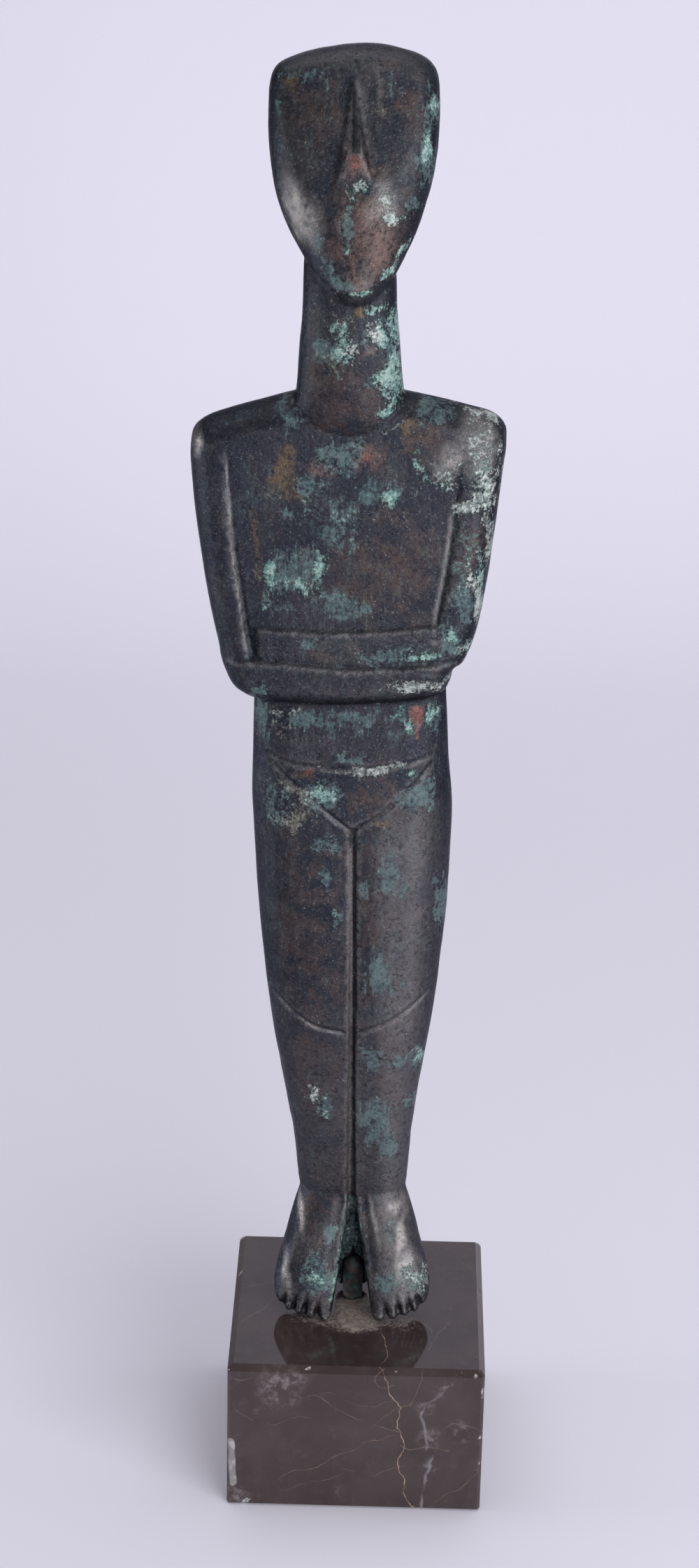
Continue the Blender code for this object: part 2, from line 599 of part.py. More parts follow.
def settle(target, tools):
    """Apply the modifiers and drop the tools, so that the piece stands alone."""
    bpy.context.view_layer.update()
    evaluated = target.evaluated_get(bpy.context.evaluated_depsgraph_get())
    mesh = bpy.data.meshes.new_from_object(evaluated)
    target.modifiers.clear()
    target.data = mesh
    for tool in tools:
        bpy.data.objects.remove(tool)
    shape = bmesh.new()
    shape.from_mesh(mesh)
    bmesh.ops.remove_doubles(shape, verts=shape.verts, dist=0.00002)
    bmesh.ops.dissolve_degenerate(shape, edges=shape.edges, dist=0.00002)
    bmesh.ops.triangulate(shape, faces=shape.faces)
    shape.to_mesh(mesh)
    shape.free()


def finish(piece, name, colour, roughness, metallic, sharp_deg):
    material = bpy.data.materials.new(name)
    material.use_nodes = True
    shader = material.node_tree.nodes["Principled BSDF"]
    shader.inputs["Base Color"].default_value = (*colour, 1.0)
    shader.inputs["Roughness"].default_value = roughness
    shader.inputs["Metallic"].default_value = metallic
    piece.data.materials.clear()
    piece.data.materials.append(material)
    piece.data.shade_smooth()
    piece.data.set_sharp_from_angle(angle=math.radians(sharp_deg))


def build_idol():
    stand = Matrix.Identity(4)
    head_place = (Matrix.Translation(Vector((0, CHIN_DEPTH, CHIN_HEIGHT)) * UNIT)
                  @ Matrix.Rotation(math.radians(-HEAD_TILT_DEG), 4, "X"))
    foot_place = (Matrix.Translation(Vector((0, ANKLE_DEPTH, ANKLE_HEIGHT)) * UNIT)
                  @ Matrix.Rotation(math.radians(-FOOT_TILT_DEG), 4, "X"))
    mirror = Matrix.Scale(-1, 4, Vector((1, 0, 0)))
    idol = add_object("bronze_idol", torso_form().mesh("torso", stand))
    tools = [add_object("legs", leg_form().mesh("legs", stand)),
             add_object("neck", neck_mesh("neck")),
             add_object("head", head_form().mesh("head", head_place))]
    right_foot = add_object("right_foot", foot_form().mesh("right_foot", foot_place))
    left_foot = add_object("left_foot", foot_form().mesh("left_foot", mirror @ foot_place))
    left_foot.data.flip_normals()
    tools += [right_foot, left_foot, add_object("web", web_mesh("web"))]
    for piece in [idol] + tools:
        piece.location = (FIGURE_OFFSET_X, 0, BASE_HEIGHT)
        piece.rotation_euler = (0, -math.radians(FIGURE_LEAN_DEG), 0)
    for tool in tools:
        cut_or_join(idol, tool, "UNION")
    bore = round_bar("pin_bore", 0.5 * PIN_DIAMETER + PIN_CLEARANCE, BASE_HEIGHT - 0.002,
                     BASE_HEIGHT + PIN_HEIGHT_ABOVE_BASE + PIN_CLEARANCE, domed=True)
    cut_or_join(idol, bore, "DIFFERENCE")
    settle(idol, tools + [bore])
    finish(idol, "patinated_bronze", (0.045, 0.042, 0.045), 0.42, 0.75, 38)
    return idol


def build_pin():
    pin = round_bar("mounting_pin", 0.5 * PIN_DIAMETER, BASE_HEIGHT - PIN_DEPTH_IN_BASE,
                    BASE_HEIGHT + PIN_HEIGHT_ABOVE_BASE, domed=True)
    finish(pin, "darkened_steel", (0.03, 0.03, 0.032), 0.5, 0.9, 40)
    return pin


def build_base():
    width, depth = 0.5 * BASE_WIDTH, 0.5 * BASE_DEPTH
    rings = [(BASE_FOOT_CHAMFER, 0.0), (0.0, BASE_FOOT_CHAMFER), (0.0, BASE_HEIGHT - BASE_TOP_CHAMFER),
             (BASE_TOP_CHAMFER, BASE_HEIGHT)]
    vertices, faces = [], []
    for inset, z in rings:
        x, y, c = width - inset, depth - inset, BASE_SIDE_CHAMFER
        vertices += [(x, -y + c, z), (x, y - c, z), (x - c, y, z), (-x + c, y, z),
                     (-x, y - c, z), (-x, -y + c, z), (-x + c, -y, z), (x - c, -y, z)]
    faces.append(tuple(range(8))[::-1])
    for row in range(len(rings) - 1):
        for k in range(8):
            a, b = 8 * row + k, 8 * row + (k + 1) % 8
            faces.append((a, b, b + 8, a + 8))
    faces.append(tuple(8 * (len(rings) - 1) + k for k in range(8)))
    mesh = bpy.data.meshes.new("marble_base")
    mesh.from_pydata(vertices, [], faces)
    mesh.update()
    base = add_object("marble_base", mesh)
    hole = round_bar("pin_hole", 0.5 * PIN_DIAMETER + PIN_CLEARANCE,
                     BASE_HEIGHT - PIN_DEPTH_IN_BASE - PIN_CLEARANCE, BASE_HEIGHT + 0.002, domed=False)
    cut_or_join(base, hole, "DIFFERENCE")
    settle(base, [hole])
    finish(base, "dark_brown_marble", (0.075, 0.055, 0.058), 0.12, 0.0, 30)
    return base


def main():
    for old in list(bpy.data.objects):
        bpy.data.objects.remove(old)
    build_idol()
    build_pin()
    build_base()


main()
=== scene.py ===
"""The looks of the bronze idol on its marble block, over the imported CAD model.

Metres in the row frame, +Z up, the figure faces -Y. The figure's own drawing is in millimetres of
its canon: places are (x, height above the marble), and depth is y.
"""

import math
from functools import partial

import bmesh
import bpy
import numpy as np
from mathutils import Matrix, Vector
from mathutils.geometry import delaunay_2d_cdt


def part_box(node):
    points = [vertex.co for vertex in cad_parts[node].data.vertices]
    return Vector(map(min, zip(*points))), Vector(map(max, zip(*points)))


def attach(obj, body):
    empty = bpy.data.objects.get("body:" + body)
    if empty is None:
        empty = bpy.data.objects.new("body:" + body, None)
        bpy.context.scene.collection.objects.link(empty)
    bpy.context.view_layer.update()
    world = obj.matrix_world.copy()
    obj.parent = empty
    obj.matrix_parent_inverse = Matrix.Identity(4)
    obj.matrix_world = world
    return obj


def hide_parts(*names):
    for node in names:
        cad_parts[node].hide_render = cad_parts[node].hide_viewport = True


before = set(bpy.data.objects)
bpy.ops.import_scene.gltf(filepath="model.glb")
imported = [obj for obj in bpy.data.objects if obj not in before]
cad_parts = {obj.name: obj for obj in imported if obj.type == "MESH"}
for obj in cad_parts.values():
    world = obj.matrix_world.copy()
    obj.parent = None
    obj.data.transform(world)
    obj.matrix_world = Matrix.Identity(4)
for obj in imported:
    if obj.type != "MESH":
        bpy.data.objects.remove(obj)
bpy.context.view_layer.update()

# The frame's own sizes, in metres
IDOL_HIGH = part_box("bronze_idol")[1]
BASE_LOW, BASE_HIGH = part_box("marble_base")
PIN_LOW, PIN_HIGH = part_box("mounting_pin")
MARBLE_TOP = BASE_HIGH[2]
PIN_RADIUS = 0.5 * (PIN_HIGH[0] - PIN_LOW[0])
PIN_X, PIN_Y = 0.5 * (PIN_LOW[0] + PIN_HIGH[0]), 0.5 * (PIN_LOW[1] + PIN_HIGH[1])
PIN_GAP = 0.0003
PIN_SIDES = 64
DOME_STEPS = 12
# How far the shape that cuts a hole stands out of the surface
CUT_SPARE = 0.002
MILLIMETRE = 0.001

# The figure stands on the marble, leans a little and is drawn on a canon of its height
CROWN_HEIGHT = 297.14
UNIT = (IDOL_HIGH[2] - MARBLE_TOP) / CROWN_HEIGHT
FIGURE_LEAN_DEG = 1.15
FIGURE_OFFSET_X = -0.0015

# Mesh steps of the figure, in canon millimetres
OUTLINE_STEP = 0.9
FIELD_STEP = 0.8
LINE_STEP = 0.9
LINE_MARGIN = 0.25
RIM_ANGLES_DEG = range(9, 91, 9)
VOXEL = 0.46
FIGURE_FACES = 186000


# Curves, profiles and forms

def hermite(t, span, start, start_slope, end, end_slope):
    """A cubic from start to end over a span, read at t from 0 to 1."""
    return ((2 * t ** 3 - 3 * t ** 2 + 1) * start + (t ** 3 - 2 * t ** 2 + t) * span * start_slope
            + (-2 * t ** 3 + 3 * t ** 2) * end + (t ** 3 - t ** 2) * span * end_slope)


def curve_through(points, step, closed=False):
    """Points about one step apart on a smooth curve through the given points."""
    knots = np.array(points, float)
    count = len(knots)
    spans = count if closed else count - 1
    samples = []
    for i in range(spans):
        if closed:
            p0, p1, p2, p3 = (knots[(i + k) % count] for k in (-1, 0, 1, 2))
        else:
            p1, p2 = knots[i], knots[i + 1]
            p0 = knots[i - 1] if i else 2 * p1 - p2
            p3 = knots[i + 2] if i + 2 < count else 2 * p2 - p1
        pieces = max(1, int(math.ceil(np.linalg.norm(p2 - p1) / step)))
        chords = [max(np.linalg.norm(b - a) ** 0.5, 1e-6) for a, b in ((p0, p1), (p1, p2), (p2, p3))]
        start = (p1 - p0) / chords[0] - (p2 - p0) / (chords[0] + chords[1]) + (p2 - p1) / chords[1]
        end = (p2 - p1) / chords[1] - (p3 - p1) / (chords[1] + chords[2]) + (p3 - p2) / chords[2]
        samples += [hermite(k / pieces, chords[1], p1, start, p2, end) for k in range(pieces)]
    if not closed:
        samples.append(knots[-1])
    return np.array(samples)


def profile(*stations):
    """A smooth function of height through (height, value) stations, with no overshoot."""
    at = np.array([s[0] for s in stations], float)
    value = np.array([s[1] for s in stations], float)
    rise = np.diff(value) / np.diff(at)
    slope = np.concatenate([rise[:1], np.zeros(len(at) - 2), rise[-1:]])
    for k in range(1, len(at) - 1):
        if rise[k - 1] * rise[k] > 0:
            slope[k] = 2 * rise[k - 1] * rise[k] / (rise[k - 1] + rise[k])

    def read(height):
        h = np.clip(height, at[0], at[-1])
        i = np.clip(np.searchsorted(at, h, side="right") - 1, 0, len(at) - 2)
        span = at[i + 1] - at[i]
        return hermite((h - at[i]) / span, span, value[i], slope[i], value[i + 1], slope[i + 1])
    return read


def soft_step(value, low, high):
    t = np.clip((value - low) / (high - low), 0.0, 1.0)
    return t * t * (3 - 2 * t)


def band(value, rise, full, fade, end):
    """0 up to rise, 1 from full to fade, and 0 again from end on."""
    return soft_step(value, rise, full) * (1 - soft_step(value, fade, end))


def nearest_on_path(points, path, closed=False):
    """Distance from each point to a path, and how far along the path that is, 0 to 1."""
    ends = np.roll(path, -1, axis=0) if closed else path[1:]
    starts = path if closed else path[:-1]
    run = ends - starts
    length = np.maximum(np.linalg.norm(run, axis=1), 1e-9)
    before = np.concatenate([[0.0], np.cumsum(length)])
    best = np.full(len(points), np.inf)
    along = np.zeros(len(points))
    for k in range(len(starts)):
        offset = points - starts[k]
        t = np.clip(offset @ run[k] / length[k] ** 2, 0.0, 1.0)
        distance = np.linalg.norm(offset - t[:, None] * run[k], axis=1)
        nearer = distance < best
        best[nearer] = distance[nearer]
        along[nearer] = (before[k] + t[nearer] * length[k]) / before[-1]
    return best, along


def inside(points, outline):
    """Which points lie inside a closed outline."""
    crossings = np.zeros(len(points), int)
    for (x1, z1), (x2, z2) in zip(outline, np.roll(outline, -1, axis=0)):
        if z1 != z2:
            spans = (z1 > points[:, 1]) != (z2 > points[:, 1])
            crossings += spans & (points[:, 0] < x1 + (points[:, 1] - z1) * (x2 - x1) / (z2 - z1))
    return crossings % 2 == 1


class Groove:
    """A rounded cut along a path with worn lips. Width and depth change evenly from start to end."""

    def __init__(self, points, half_width, depth, lip=0.0):
        self.path = curve_through(points, LINE_STEP)
        self.half_width = half_width
        self.depth = depth
        self.lip = lip

    def cut(self, places):
        distance, along = nearest_on_path(places, self.path)
        half_width = np.interp(along, (0, 1), self.half_width)
        depth = np.interp(along, (0, 1), self.depth)
        share = distance / half_width
        bed = depth * np.clip(1 - share, 0.0, 1.0) ** 0.9
        return bed - self.lip * np.exp(-((share - 1.35) / 0.5) ** 2)

    def lines(self):
        run = np.gradient(self.path, axis=0)
        run /= np.linalg.norm(run, axis=1)[:, None]
        side = np.column_stack([-run[:, 1], run[:, 0]])
        share = np.linspace(0, 1, len(self.path))
        offset = side * np.interp(share, (0, 1), self.half_width)[:, None]
        return [self.path, self.path + offset, self.path - offset]


def carve(grooves, places):
    """The depth of the deepest groove at each place, with the lips of those nearby."""
    cuts = np.array([groove.cut(places) for groove in grooves])
    return np.where(cuts.max(axis=0) > 0, cuts.max(axis=0), cuts.min(axis=0))


def all_lines(grooves):
    return [line for groove in grooves for line in groove.lines()]


def offset_rings(outline, rim):
    """Points inside the outline where the rounded rim turns by each of the rim angles."""
    run = np.roll(outline, -1, axis=0) - np.roll(outline, 1, axis=0)
    run /= np.linalg.norm(run, axis=1)[:, None]
    inward = np.column_stack([-run[:, 1], run[:, 0]])
    rings = []
    for angle in RIM_ANGLES_DEG:
        reach = rim * (1 - math.cos(math.radians(angle)))
        ring = outline + inward * reach[:, None]
        distance, _ = nearest_on_path(ring, outline, closed=True)
        rings.append(ring[distance > 0.93 * reach])
    return rings


def hex_field(low, high, step):
    rows = np.arange(low[1], high[1] + step, step * math.sqrt(0.75))
    columns = np.arange(low[0] - step, high[0] + step, step)
    return np.array([(x + (k % 2) * step / 2, z) for k, z in enumerate(rows) for x in columns])


def thin_out(candidates, kept, gap):
    """The candidates that stay at least a gap away from what is kept already."""
    if not len(candidates):
        return candidates
    cells = {}
    for point in kept:
        cells.setdefault((int(point[0] // gap), int(point[1] // gap)), []).append(point)
    far = []
    for candidate in candidates:
        column, row = int(candidate[0] // gap), int(candidate[1] // gap)
        near = [p for i in (-1, 0, 1) for j in (-1, 0, 1) for p in cells.get((column + i, row + j), ())]
        far.append(all((p[0] - candidate[0]) ** 2 + (p[1] - candidate[1]) ** 2 > gap ** 2 for p in near))
    return candidates[np.array(far)]


def triangulate(outline, rim, lines, fineness):
    """Triangles inside an outline that follow its rim and every carved line."""
    field_step = FIELD_STEP * fineness
    points = [tuple(p) for p in outline]
    edges = [(i, (i + 1) % len(outline)) for i in range(len(outline))]
    for line in lines:
        clear = nearest_on_path(line, outline, closed=True)[0] > LINE_MARGIN * fineness
        clear &= inside(line, outline)
        for i in np.flatnonzero(clear):
            if i and clear[i - 1]:
                edges.append((len(points) - 1, len(points)))
            points.append(tuple(line[i]))
    kept = np.array(points)
    for ring in offset_rings(outline, rim):
        ring = thin_out(ring, kept[len(outline):], 0.35 * OUTLINE_STEP * fineness)
        kept = np.vstack([kept, ring])
    field = hex_field(outline.min(axis=0), outline.max(axis=0), field_step)
    field = thin_out(field, kept, 0.62 * field_step)
    kept = np.vstack([kept, field])
    result = delaunay_2d_cdt([Vector(p) for p in kept], edges, [list(range(len(outline)))], 1, 1e-5)
    places, _, faces, origins = result[:4]
    rim_of = [min((k for k in origin if k < len(outline)), default=-1) for origin in origins]
    return np.array(places), [tuple(face) for face in faces], rim_of


def new_mesh(name, vertices, faces):
    mesh = bpy.data.meshes.new(name)
    mesh.from_pydata(vertices, [], faces)
    mesh.update()
    return mesh


class Form:
    """A closed body drawn as an outline with a front and a back surface over it."""

    def __init__(self, outline, middle, front, back, front_rim, back_rim,
                 front_lines=(), back_lines=(), fineness=1.0):
        self.outline = outline
        self.fineness = fineness
        self.middle = middle
        self.surfaces = ((front, front_rim, front_lines), (back, back_rim, back_lines))

    def depth(self, places, surface, rim):
        distance, _ = nearest_on_path(places, self.outline, closed=True)
        inward = np.clip(distance / rim(places), 0.0, 1.0)
        roundness = np.sqrt(1 - (1 - inward) ** 2)
        middle = self.middle(places)
        return middle + (surface(places) - middle) * roundness

    def mesh(self, name, place):
        edge = np.column_stack([self.outline[:, 0], self.middle(self.outline), self.outline[:, 1]])
        vertices = [Vector(v) for v in edge]
        faces = []
        for side, (surface, rim, lines) in enumerate(self.surfaces):
            places, triangles, rim_of = triangulate(self.outline, rim(self.outline), lines, self.fineness)
            depth = self.depth(places, surface, rim)
            index = []
            for k, (x, z) in enumerate(places):
                if rim_of[k] >= 0:
                    index.append(rim_of[k])
                else:
                    index.append(len(vertices))
                    vertices.append(Vector((x, depth[k], z)))
            for triangle in triangles:
                face = tuple(index[k] for k in triangle)
                faces.append(face[::-1] if side else face)
        return new_mesh(name, [place @ v for v in vertices], faces)


# Legs and waist

LEG_HALF_WIDTH = profile((17, 9.6), (24, 11.4), (30, 12.8), (41, 13.75), (53, 15.4), (64, 17.15),
    (75, 18.7), (86, 20), (102, 21.5), (118, 22.4), (128, 22.65), (140, 22.1), (150, 21.7), (158, 21.4),
    (168, 19))
LEG_MIDDLE_X = profile((17, 0), (38, 0), (58, -0.3), (84, -0.1), (122, 0), (142, -0.5), (168, -0.5))
LEG_FRONT = profile((17, 4.6), (23, 3), (28, 0.6), (32, 0.1), (45, -1), (60, -2.2), (76, -3.8), (100, -4.2),
    (125, -4.4), (140, -3.8), (152, -2.8), (168, -2))
LEG_BACK = profile((17, 10), (24, 11.6), (30, 12.8), (45, 15), (58, 16.2), (76, 14.6), (96, 16.6),
    (124, 18.6), (138, 17.6), (152, 13.2), (160, 11.6), (168, 10))
LEG_BOTTOM = 17.0
LEG_TOP = 168.0
CLEFT_TOP = 125.0
CLEFT_EDGE = [(0.2, CLEFT_TOP), (0.2, 90), (-0.1, 60), (-0.3, 27)]
CLEFT = Groove(CLEFT_EDGE, (0.9, 1.25), (0.9, 1.5), lip=0.08)
BELLY_LINE = Groove([(-19.2, 142.8), (-12, 140.9), (-0.5, 139.9), (10.8, 141), (18.2, 142.6)], (0.7, 0.7),
    (0.32, 0.32), lip=0.07)
LOINS = [Groove(points, (0.65, 0.65), (0.5, 0.55), lip=0.10) for points in (
    [(-18.6, 141.4), (-12.6, 136.0), (-6.2, 130.3), (-0.6, 125.6)],
    [(18.0, 140.6), (12.4, 134.6), (7.0, 129.6), (0.9, 125.6)])]
KNEES = [Groove(points, (0.62, 0.62), (0.55, 0.6), lip=0.08) for points in (
    [(-18.2, 83.4), (-12.9, 79.3), (-8.7, 76.3), (-1.6, 74.2)],
    [(18.2, 84.2), (13.5, 80.7), (8.4, 77.2), (1.6, 74.2)])]
LEG_CARVING = [CLEFT, BELLY_LINE] + LOINS + KNEES
BACK_CLEFT = Groove([(0, 131), (0, 100), (0, 60), (0, 28)], (1.4, 2.0), (1.6, 3.0))


def leg_outline():
    heights = np.linspace(LEG_BOTTOM, LEG_TOP, int((LEG_TOP - LEG_BOTTOM) / OUTLINE_STEP))
    width = LEG_HALF_WIDTH(heights)
    across = np.linspace(1, -1, int(2 * LEG_HALF_WIDTH(LEG_TOP) / OUTLINE_STEP))[1:-1]
    right = np.column_stack([width, heights])
    top = np.column_stack([across * LEG_HALF_WIDTH(LEG_TOP), np.full(len(across), LEG_TOP)])
    bottom = np.column_stack([-across * LEG_HALF_WIDTH(LEG_BOTTOM), np.full(len(across), LEG_BOTTOM)])
    outline = np.vstack([right, top, (right * (-1, 1))[::-1], bottom])
    outline[:, 0] += LEG_MIDDLE_X(outline[:, 1])
    return outline


def leg_share(places):
    return (places[:, 0] - LEG_MIDDLE_X(places[:, 1])) / LEG_HALF_WIDTH(places[:, 1])


def leg_front(places):
    share = leg_share(places)
    below_loins = 1 - soft_step(places[:, 1], 112, 132)
    each_leg = 0.7 * below_loins * (1 - (2 * np.abs(share) - 1) ** 2)
    return LEG_FRONT(places[:, 1]) + 1.5 * share ** 2 - each_leg + carve(LEG_CARVING, places)


def leg_back(places):
    share = leg_share(places)
    below_seat = 1 - soft_step(places[:, 1], 124, 142)
    each_leg = 1.6 * below_seat * (1 - (2 * np.abs(share) - 1) ** 2)
    return LEG_BACK(places[:, 1]) - 2.6 * share ** 2 - 0.8 * below_seat + each_leg - BACK_CLEFT.cut(places)


def leg_form():
    def rim(places):
        return 0.44 * LEG_HALF_WIDTH(places[:, 1])

    def middle(places):
        return 0.5 * (LEG_FRONT(places[:, 1]) + LEG_BACK(places[:, 1])) - 0.4

    return Form(leg_outline(), middle, leg_front, leg_back, rim, rim,
                all_lines(LEG_CARVING), BACK_CLEFT.lines())


# Torso, upper arms and folded forearms

TORSO_HALF_WIDTH = 34.0
TORSO_OUTLINE = [(-22, 155.2), (-10, 153.9), (4, 153.9), (17.5, 155.6), (21, 157.4), (22, 159.6),
    (22.6, 162), (24.6, 163.6), (26.2, 166.8), (28.1, 173.6), (29.8, 183.4), (31.3, 195), (32.6, 206),
    (33.4, 213), (33.1, 216.8), (30.8, 219.4), (25.7, 221.1), (18, 222.9), (11.6, 224.3), (6, 225.6),
    (-7, 225.6), (-12.6, 224.3), (-19, 222.5), (-25.7, 220.6), (-31.6, 218.5), (-34.3, 216.3),
    (-35.1, 212.5), (-34.7, 202.6), (-33.5, 191), (-31.8, 178.4), (-30, 168.6), (-28.6, 162),
    (-26.4, 157.7)]
TORSO_MIDDLE = profile((153, 4.2), (175, 4.2), (200, 4.8), (227, 6))
CHEST_FRONT = profile((153, -4.2), (166, -4.2), (180, -3.9), (200, -3.4), (214, -2.6), (227, -1.4))
TORSO_BACK = profile((153, 15.2), (168, 14.2), (195, 14.4), (212, 14.2), (227, 12.6))
TORSO_RIM = 5.4
ARM_RISE = 0.9
LOWER_FOREARM_RISE = 1.7
LEFT_ARM_EDGE = [(-26.9, 213.3), (-25.3, 190), (-24.1, 181.9), (-22.9, 172.7), (-22, 167.2)]
RIGHT_ARM_EDGE = [(23.5, 211), (22.1, 195.2), (20.5, 184.1), (18.9, 175.4)]
FOREARM_TOP = [(-20.4, 173.6), (-10, 172.9), (0, 172.8), (10, 173.4), (17.6, 174.2)]
FOREARM_SPLIT = [(-21, 166.3), (-13, 165.6), (-0.7, 164.6), (10, 165), (22.6, 165.9)]
NECKLINE = Groove([(-12.5, 226), (-10, 222.1), (-6.6, 218.4), (-0.7, 217), (4.4, 218.1), (7.4, 220),
    (10.4, 223.1), (11.6, 226)], (0.7, 0.7), (0.4, 0.4), lip=0.04)
LEFT_ARM_GROOVE = Groove(LEFT_ARM_EDGE, (0.45, 0.85), (0.35, 0.7), lip=0.10)
RIGHT_ARM_GROOVE = Groove(RIGHT_ARM_EDGE, (0.5, 0.7), (0.2, 0.4), lip=0.08)
FOREARM_TOP_GROOVE = Groove(FOREARM_TOP, (0.55, 0.55), (0.14, 0.14), lip=0.06)
FOREARM_SPLIT_GROOVE = Groove(FOREARM_SPLIT, (0.6, 0.6), (0.34, 0.34), lip=0.07)
FINGERS = [Groove(points, (0.35, 0.5), (0.12, 0.3)) for points in (
    [(9.4, 163.4), (15.0, 163.7), (21.4, 163.3)],
    [(9.0, 161.8), (15.0, 162.0), (21.6, 161.4)],
    [(9.6, 160.2), (15.0, 160.3), (21.0, 159.6)])]
TORSO_CARVING = [NECKLINE, LEFT_ARM_GROOVE, RIGHT_ARM_GROOVE, FOREARM_TOP_GROOVE,
                 FOREARM_SPLIT_GROOVE] + FINGERS
BACK_CARVING = [Groove([(0, 214), (0, 190), (0, 160)], (1.6, 1.6), (0.8, 0.8)),
                Groove([(21.5, 206), (20.4, 190), (18.6, 168)], (0.8, 1.4), (0.4, 1.0)),
                Groove([(-23.0, 206), (-21.8, 190), (-19.8, 168)], (0.8, 1.4), (0.4, 1.0))]


def side_of(points):
    """A function that gives the x of a steep carved edge at each height."""
    ordered = sorted((h, x) for x, h in points)
    return lambda height: np.interp(height, [h for h, _ in ordered], [x for _, x in ordered])


def level_of(points):
    """A function that gives the height of a flat carved edge at each x."""
    return lambda x: np.interp(x, [p[0] for p in points], [p[1] for p in points])


def torso_front(places):
    x, height = places[:, 0], places[:, 1]
    below_shoulder = 1 - soft_step(height, 196, 216)
    left_arm = soft_step(side_of(LEFT_ARM_EDGE)(height) - x, -0.4, 1.2)
    right_arm = soft_step(x - side_of(RIGHT_ARM_EDGE)(height), -0.4, 1.2)
    arms = ARM_RISE * below_shoulder * np.maximum(left_arm, right_arm)
    upper = ARM_RISE * soft_step(level_of(FOREARM_TOP)(x) - height, -0.6, 0.8)
    upper = upper * soft_step(x, -21.5, -20.0)
    lower = LOWER_FOREARM_RISE * soft_step(level_of(FOREARM_SPLIT)(x) - height, -0.4, 0.9)
    rise = np.maximum.reduce([arms, upper, lower])
    fullness = 1.2 * (x / TORSO_HALF_WIDTH) ** 2
    return CHEST_FRONT(height) + fullness - rise + carve(TORSO_CARVING, places)


def torso_back(places):
    fullness = 2.2 * (places[:, 0] / TORSO_HALF_WIDTH) ** 2
    return TORSO_BACK(places[:, 1]) - fullness - carve(BACK_CARVING, places)


def torso_form():
    def rim(places):
        return np.full(len(places), TORSO_RIM)

    outline = curve_through(TORSO_OUTLINE, OUTLINE_STEP, closed=True)
    return Form(outline, lambda places: TORSO_MIDDLE(places[:, 1]), torso_front, torso_back, rim, rim,
                all_lines(TORSO_CARVING), all_lines(BACK_CARVING))


# Neck and web, two upright shafts: levels, half width, front, back, the middle's x and squareness

NECK = (
    np.arange(206, 262.1, 0.8),
    profile((206, 10.5), (214, 11.2), (222, 11.9), (228, 11.3), (236, 10.7), (244, 10), (262, 9.6)),
    profile((206, 4), (212, 1.2), (216, -1.6), (218, -3), (221, -3.9), (228, -4.7), (240, -5.2), (248, -4.6),
            (255, -1), (262, 3)),
    profile((206, 11), (220, 12), (230, 12.4), (244, 12), (262, 12.5)),
    -0.5, 2.3)
WEB = (
    np.concatenate([[2.2, 2.5, 3.0, 3.6, 4.4], np.arange(5.2, 34.1, 0.8)]),
    profile((2.2, 3.2), (3, 3.7), (4.4, 4), (10.5, 4.2), (34, 4.4)),
    profile((2.2, 3.5), (3, 3), (34, 3)),
    profile((2.2, 8.2), (3, 9), (4.4, 9.6), (10.5, 10.8), (34, 10.8)),
    0.0, 4.0)
SHAFT_SIDES = 96


def bulge(value, squareness):
    return math.copysign(abs(value) ** (2 / squareness), value)


def shaft_mesh(name, levels, half_width, front, back, middle_x, squareness):
    """A closed upright shaft with a rounded section at each level."""
    vertices = []
    for height in levels:
        half_depth = 0.5 * (back(height) - front(height))
        centre = 0.5 * (back(height) + front(height))
        for k in range(SHAFT_SIDES):
            turn = 2 * math.pi * k / SHAFT_SIDES
            across = bulge(math.cos(turn), squareness) * half_width(height)
            deep = bulge(math.sin(turn), squareness) * half_depth
            vertices.append(Vector((middle_x + across, centre + deep, height)))
    faces = [tuple(range(SHAFT_SIDES))[::-1]]
    for row in range(len(levels) - 1):
        for k in range(SHAFT_SIDES):
            a, b = row * SHAFT_SIDES + k, row * SHAFT_SIDES + (k + 1) % SHAFT_SIDES
            faces.append((a, b, b + SHAFT_SIDES, a + SHAFT_SIDES))
    faces.append(tuple((len(levels) - 1) * SHAFT_SIDES + k for k in range(SHAFT_SIDES)))
    return new_mesh(name, vertices, faces)


# Head, in its own frame with the chin at height 0 and the face near depth 0

HEAD_TILT_DEG = 18.0
CHIN_PLACE = (0, -8.2, 247.4)
HEAD_HALF_WIDTH = 17.8
HEAD_OUTLINE = [(0.5, -1.4), (4.6, 0), (7.8, 4.2), (11.1, 9.9), (13.8, 16), (16.1, 22.8), (17.6, 30),
    (18.2, 36.5), (18.2, 43.5), (17.8, 48), (16.2, 50.8), (12, 53), (4, 54.5), (-4, 54), (-11.6, 52.2),
    (-15.9, 50.1), (-17.4, 47.2), (-17.8, 42.5), (-17.9, 36.5), (-17.3, 29.5), (-16, 22.6), (-13.5, 16),
    (-10.2, 9.9), (-7, 4.4), (-3.5, 0.2)]
HEAD_MIDDLE = profile((-2, 7), (10, 8), (30, 8.6), (54, 8.6))
HEAD_BACK = profile((-2, 11), (8, 14), (20, 16.6), (36, 18), (54, 16.5))
NOSE_TOP = ((0.2, 46.8, 0), (0.4, 46.8, 0))
NOSE_TIP = ((0.1, 31.2, 2.4), (1.9, 31.2, 2.4))
NOSE_BASE = ((-3.6, 23.4, 0), (4.5, 23.8, 0))


def plane_height(a, b, c, places):
    """Height over (x, height) places of the plane through three (x, height, rise) points."""
    a, b, c = np.array(a), np.array(b), np.array(c)
    normal = np.cross(b - a, c - a)
    return a[2] - ((places - a[:2]) @ normal[:2]) / normal[2]


def nose_rise(places):
    """A long wedge: two flanks, a narrow ridge between them and a blunt underside."""
    flanks = [plane_height(NOSE_TOP[k], NOSE_TIP[k], NOSE_BASE[k], places) for k in (0, 1)]
    ridge = plane_height(NOSE_TOP[0], NOSE_TIP[0], NOSE_TIP[1], places)
    under = plane_height(NOSE_TIP[0], NOSE_BASE[0], NOSE_BASE[1], places)
    return np.clip(np.minimum.reduce(flanks + [ridge, under]), 0.0, None)


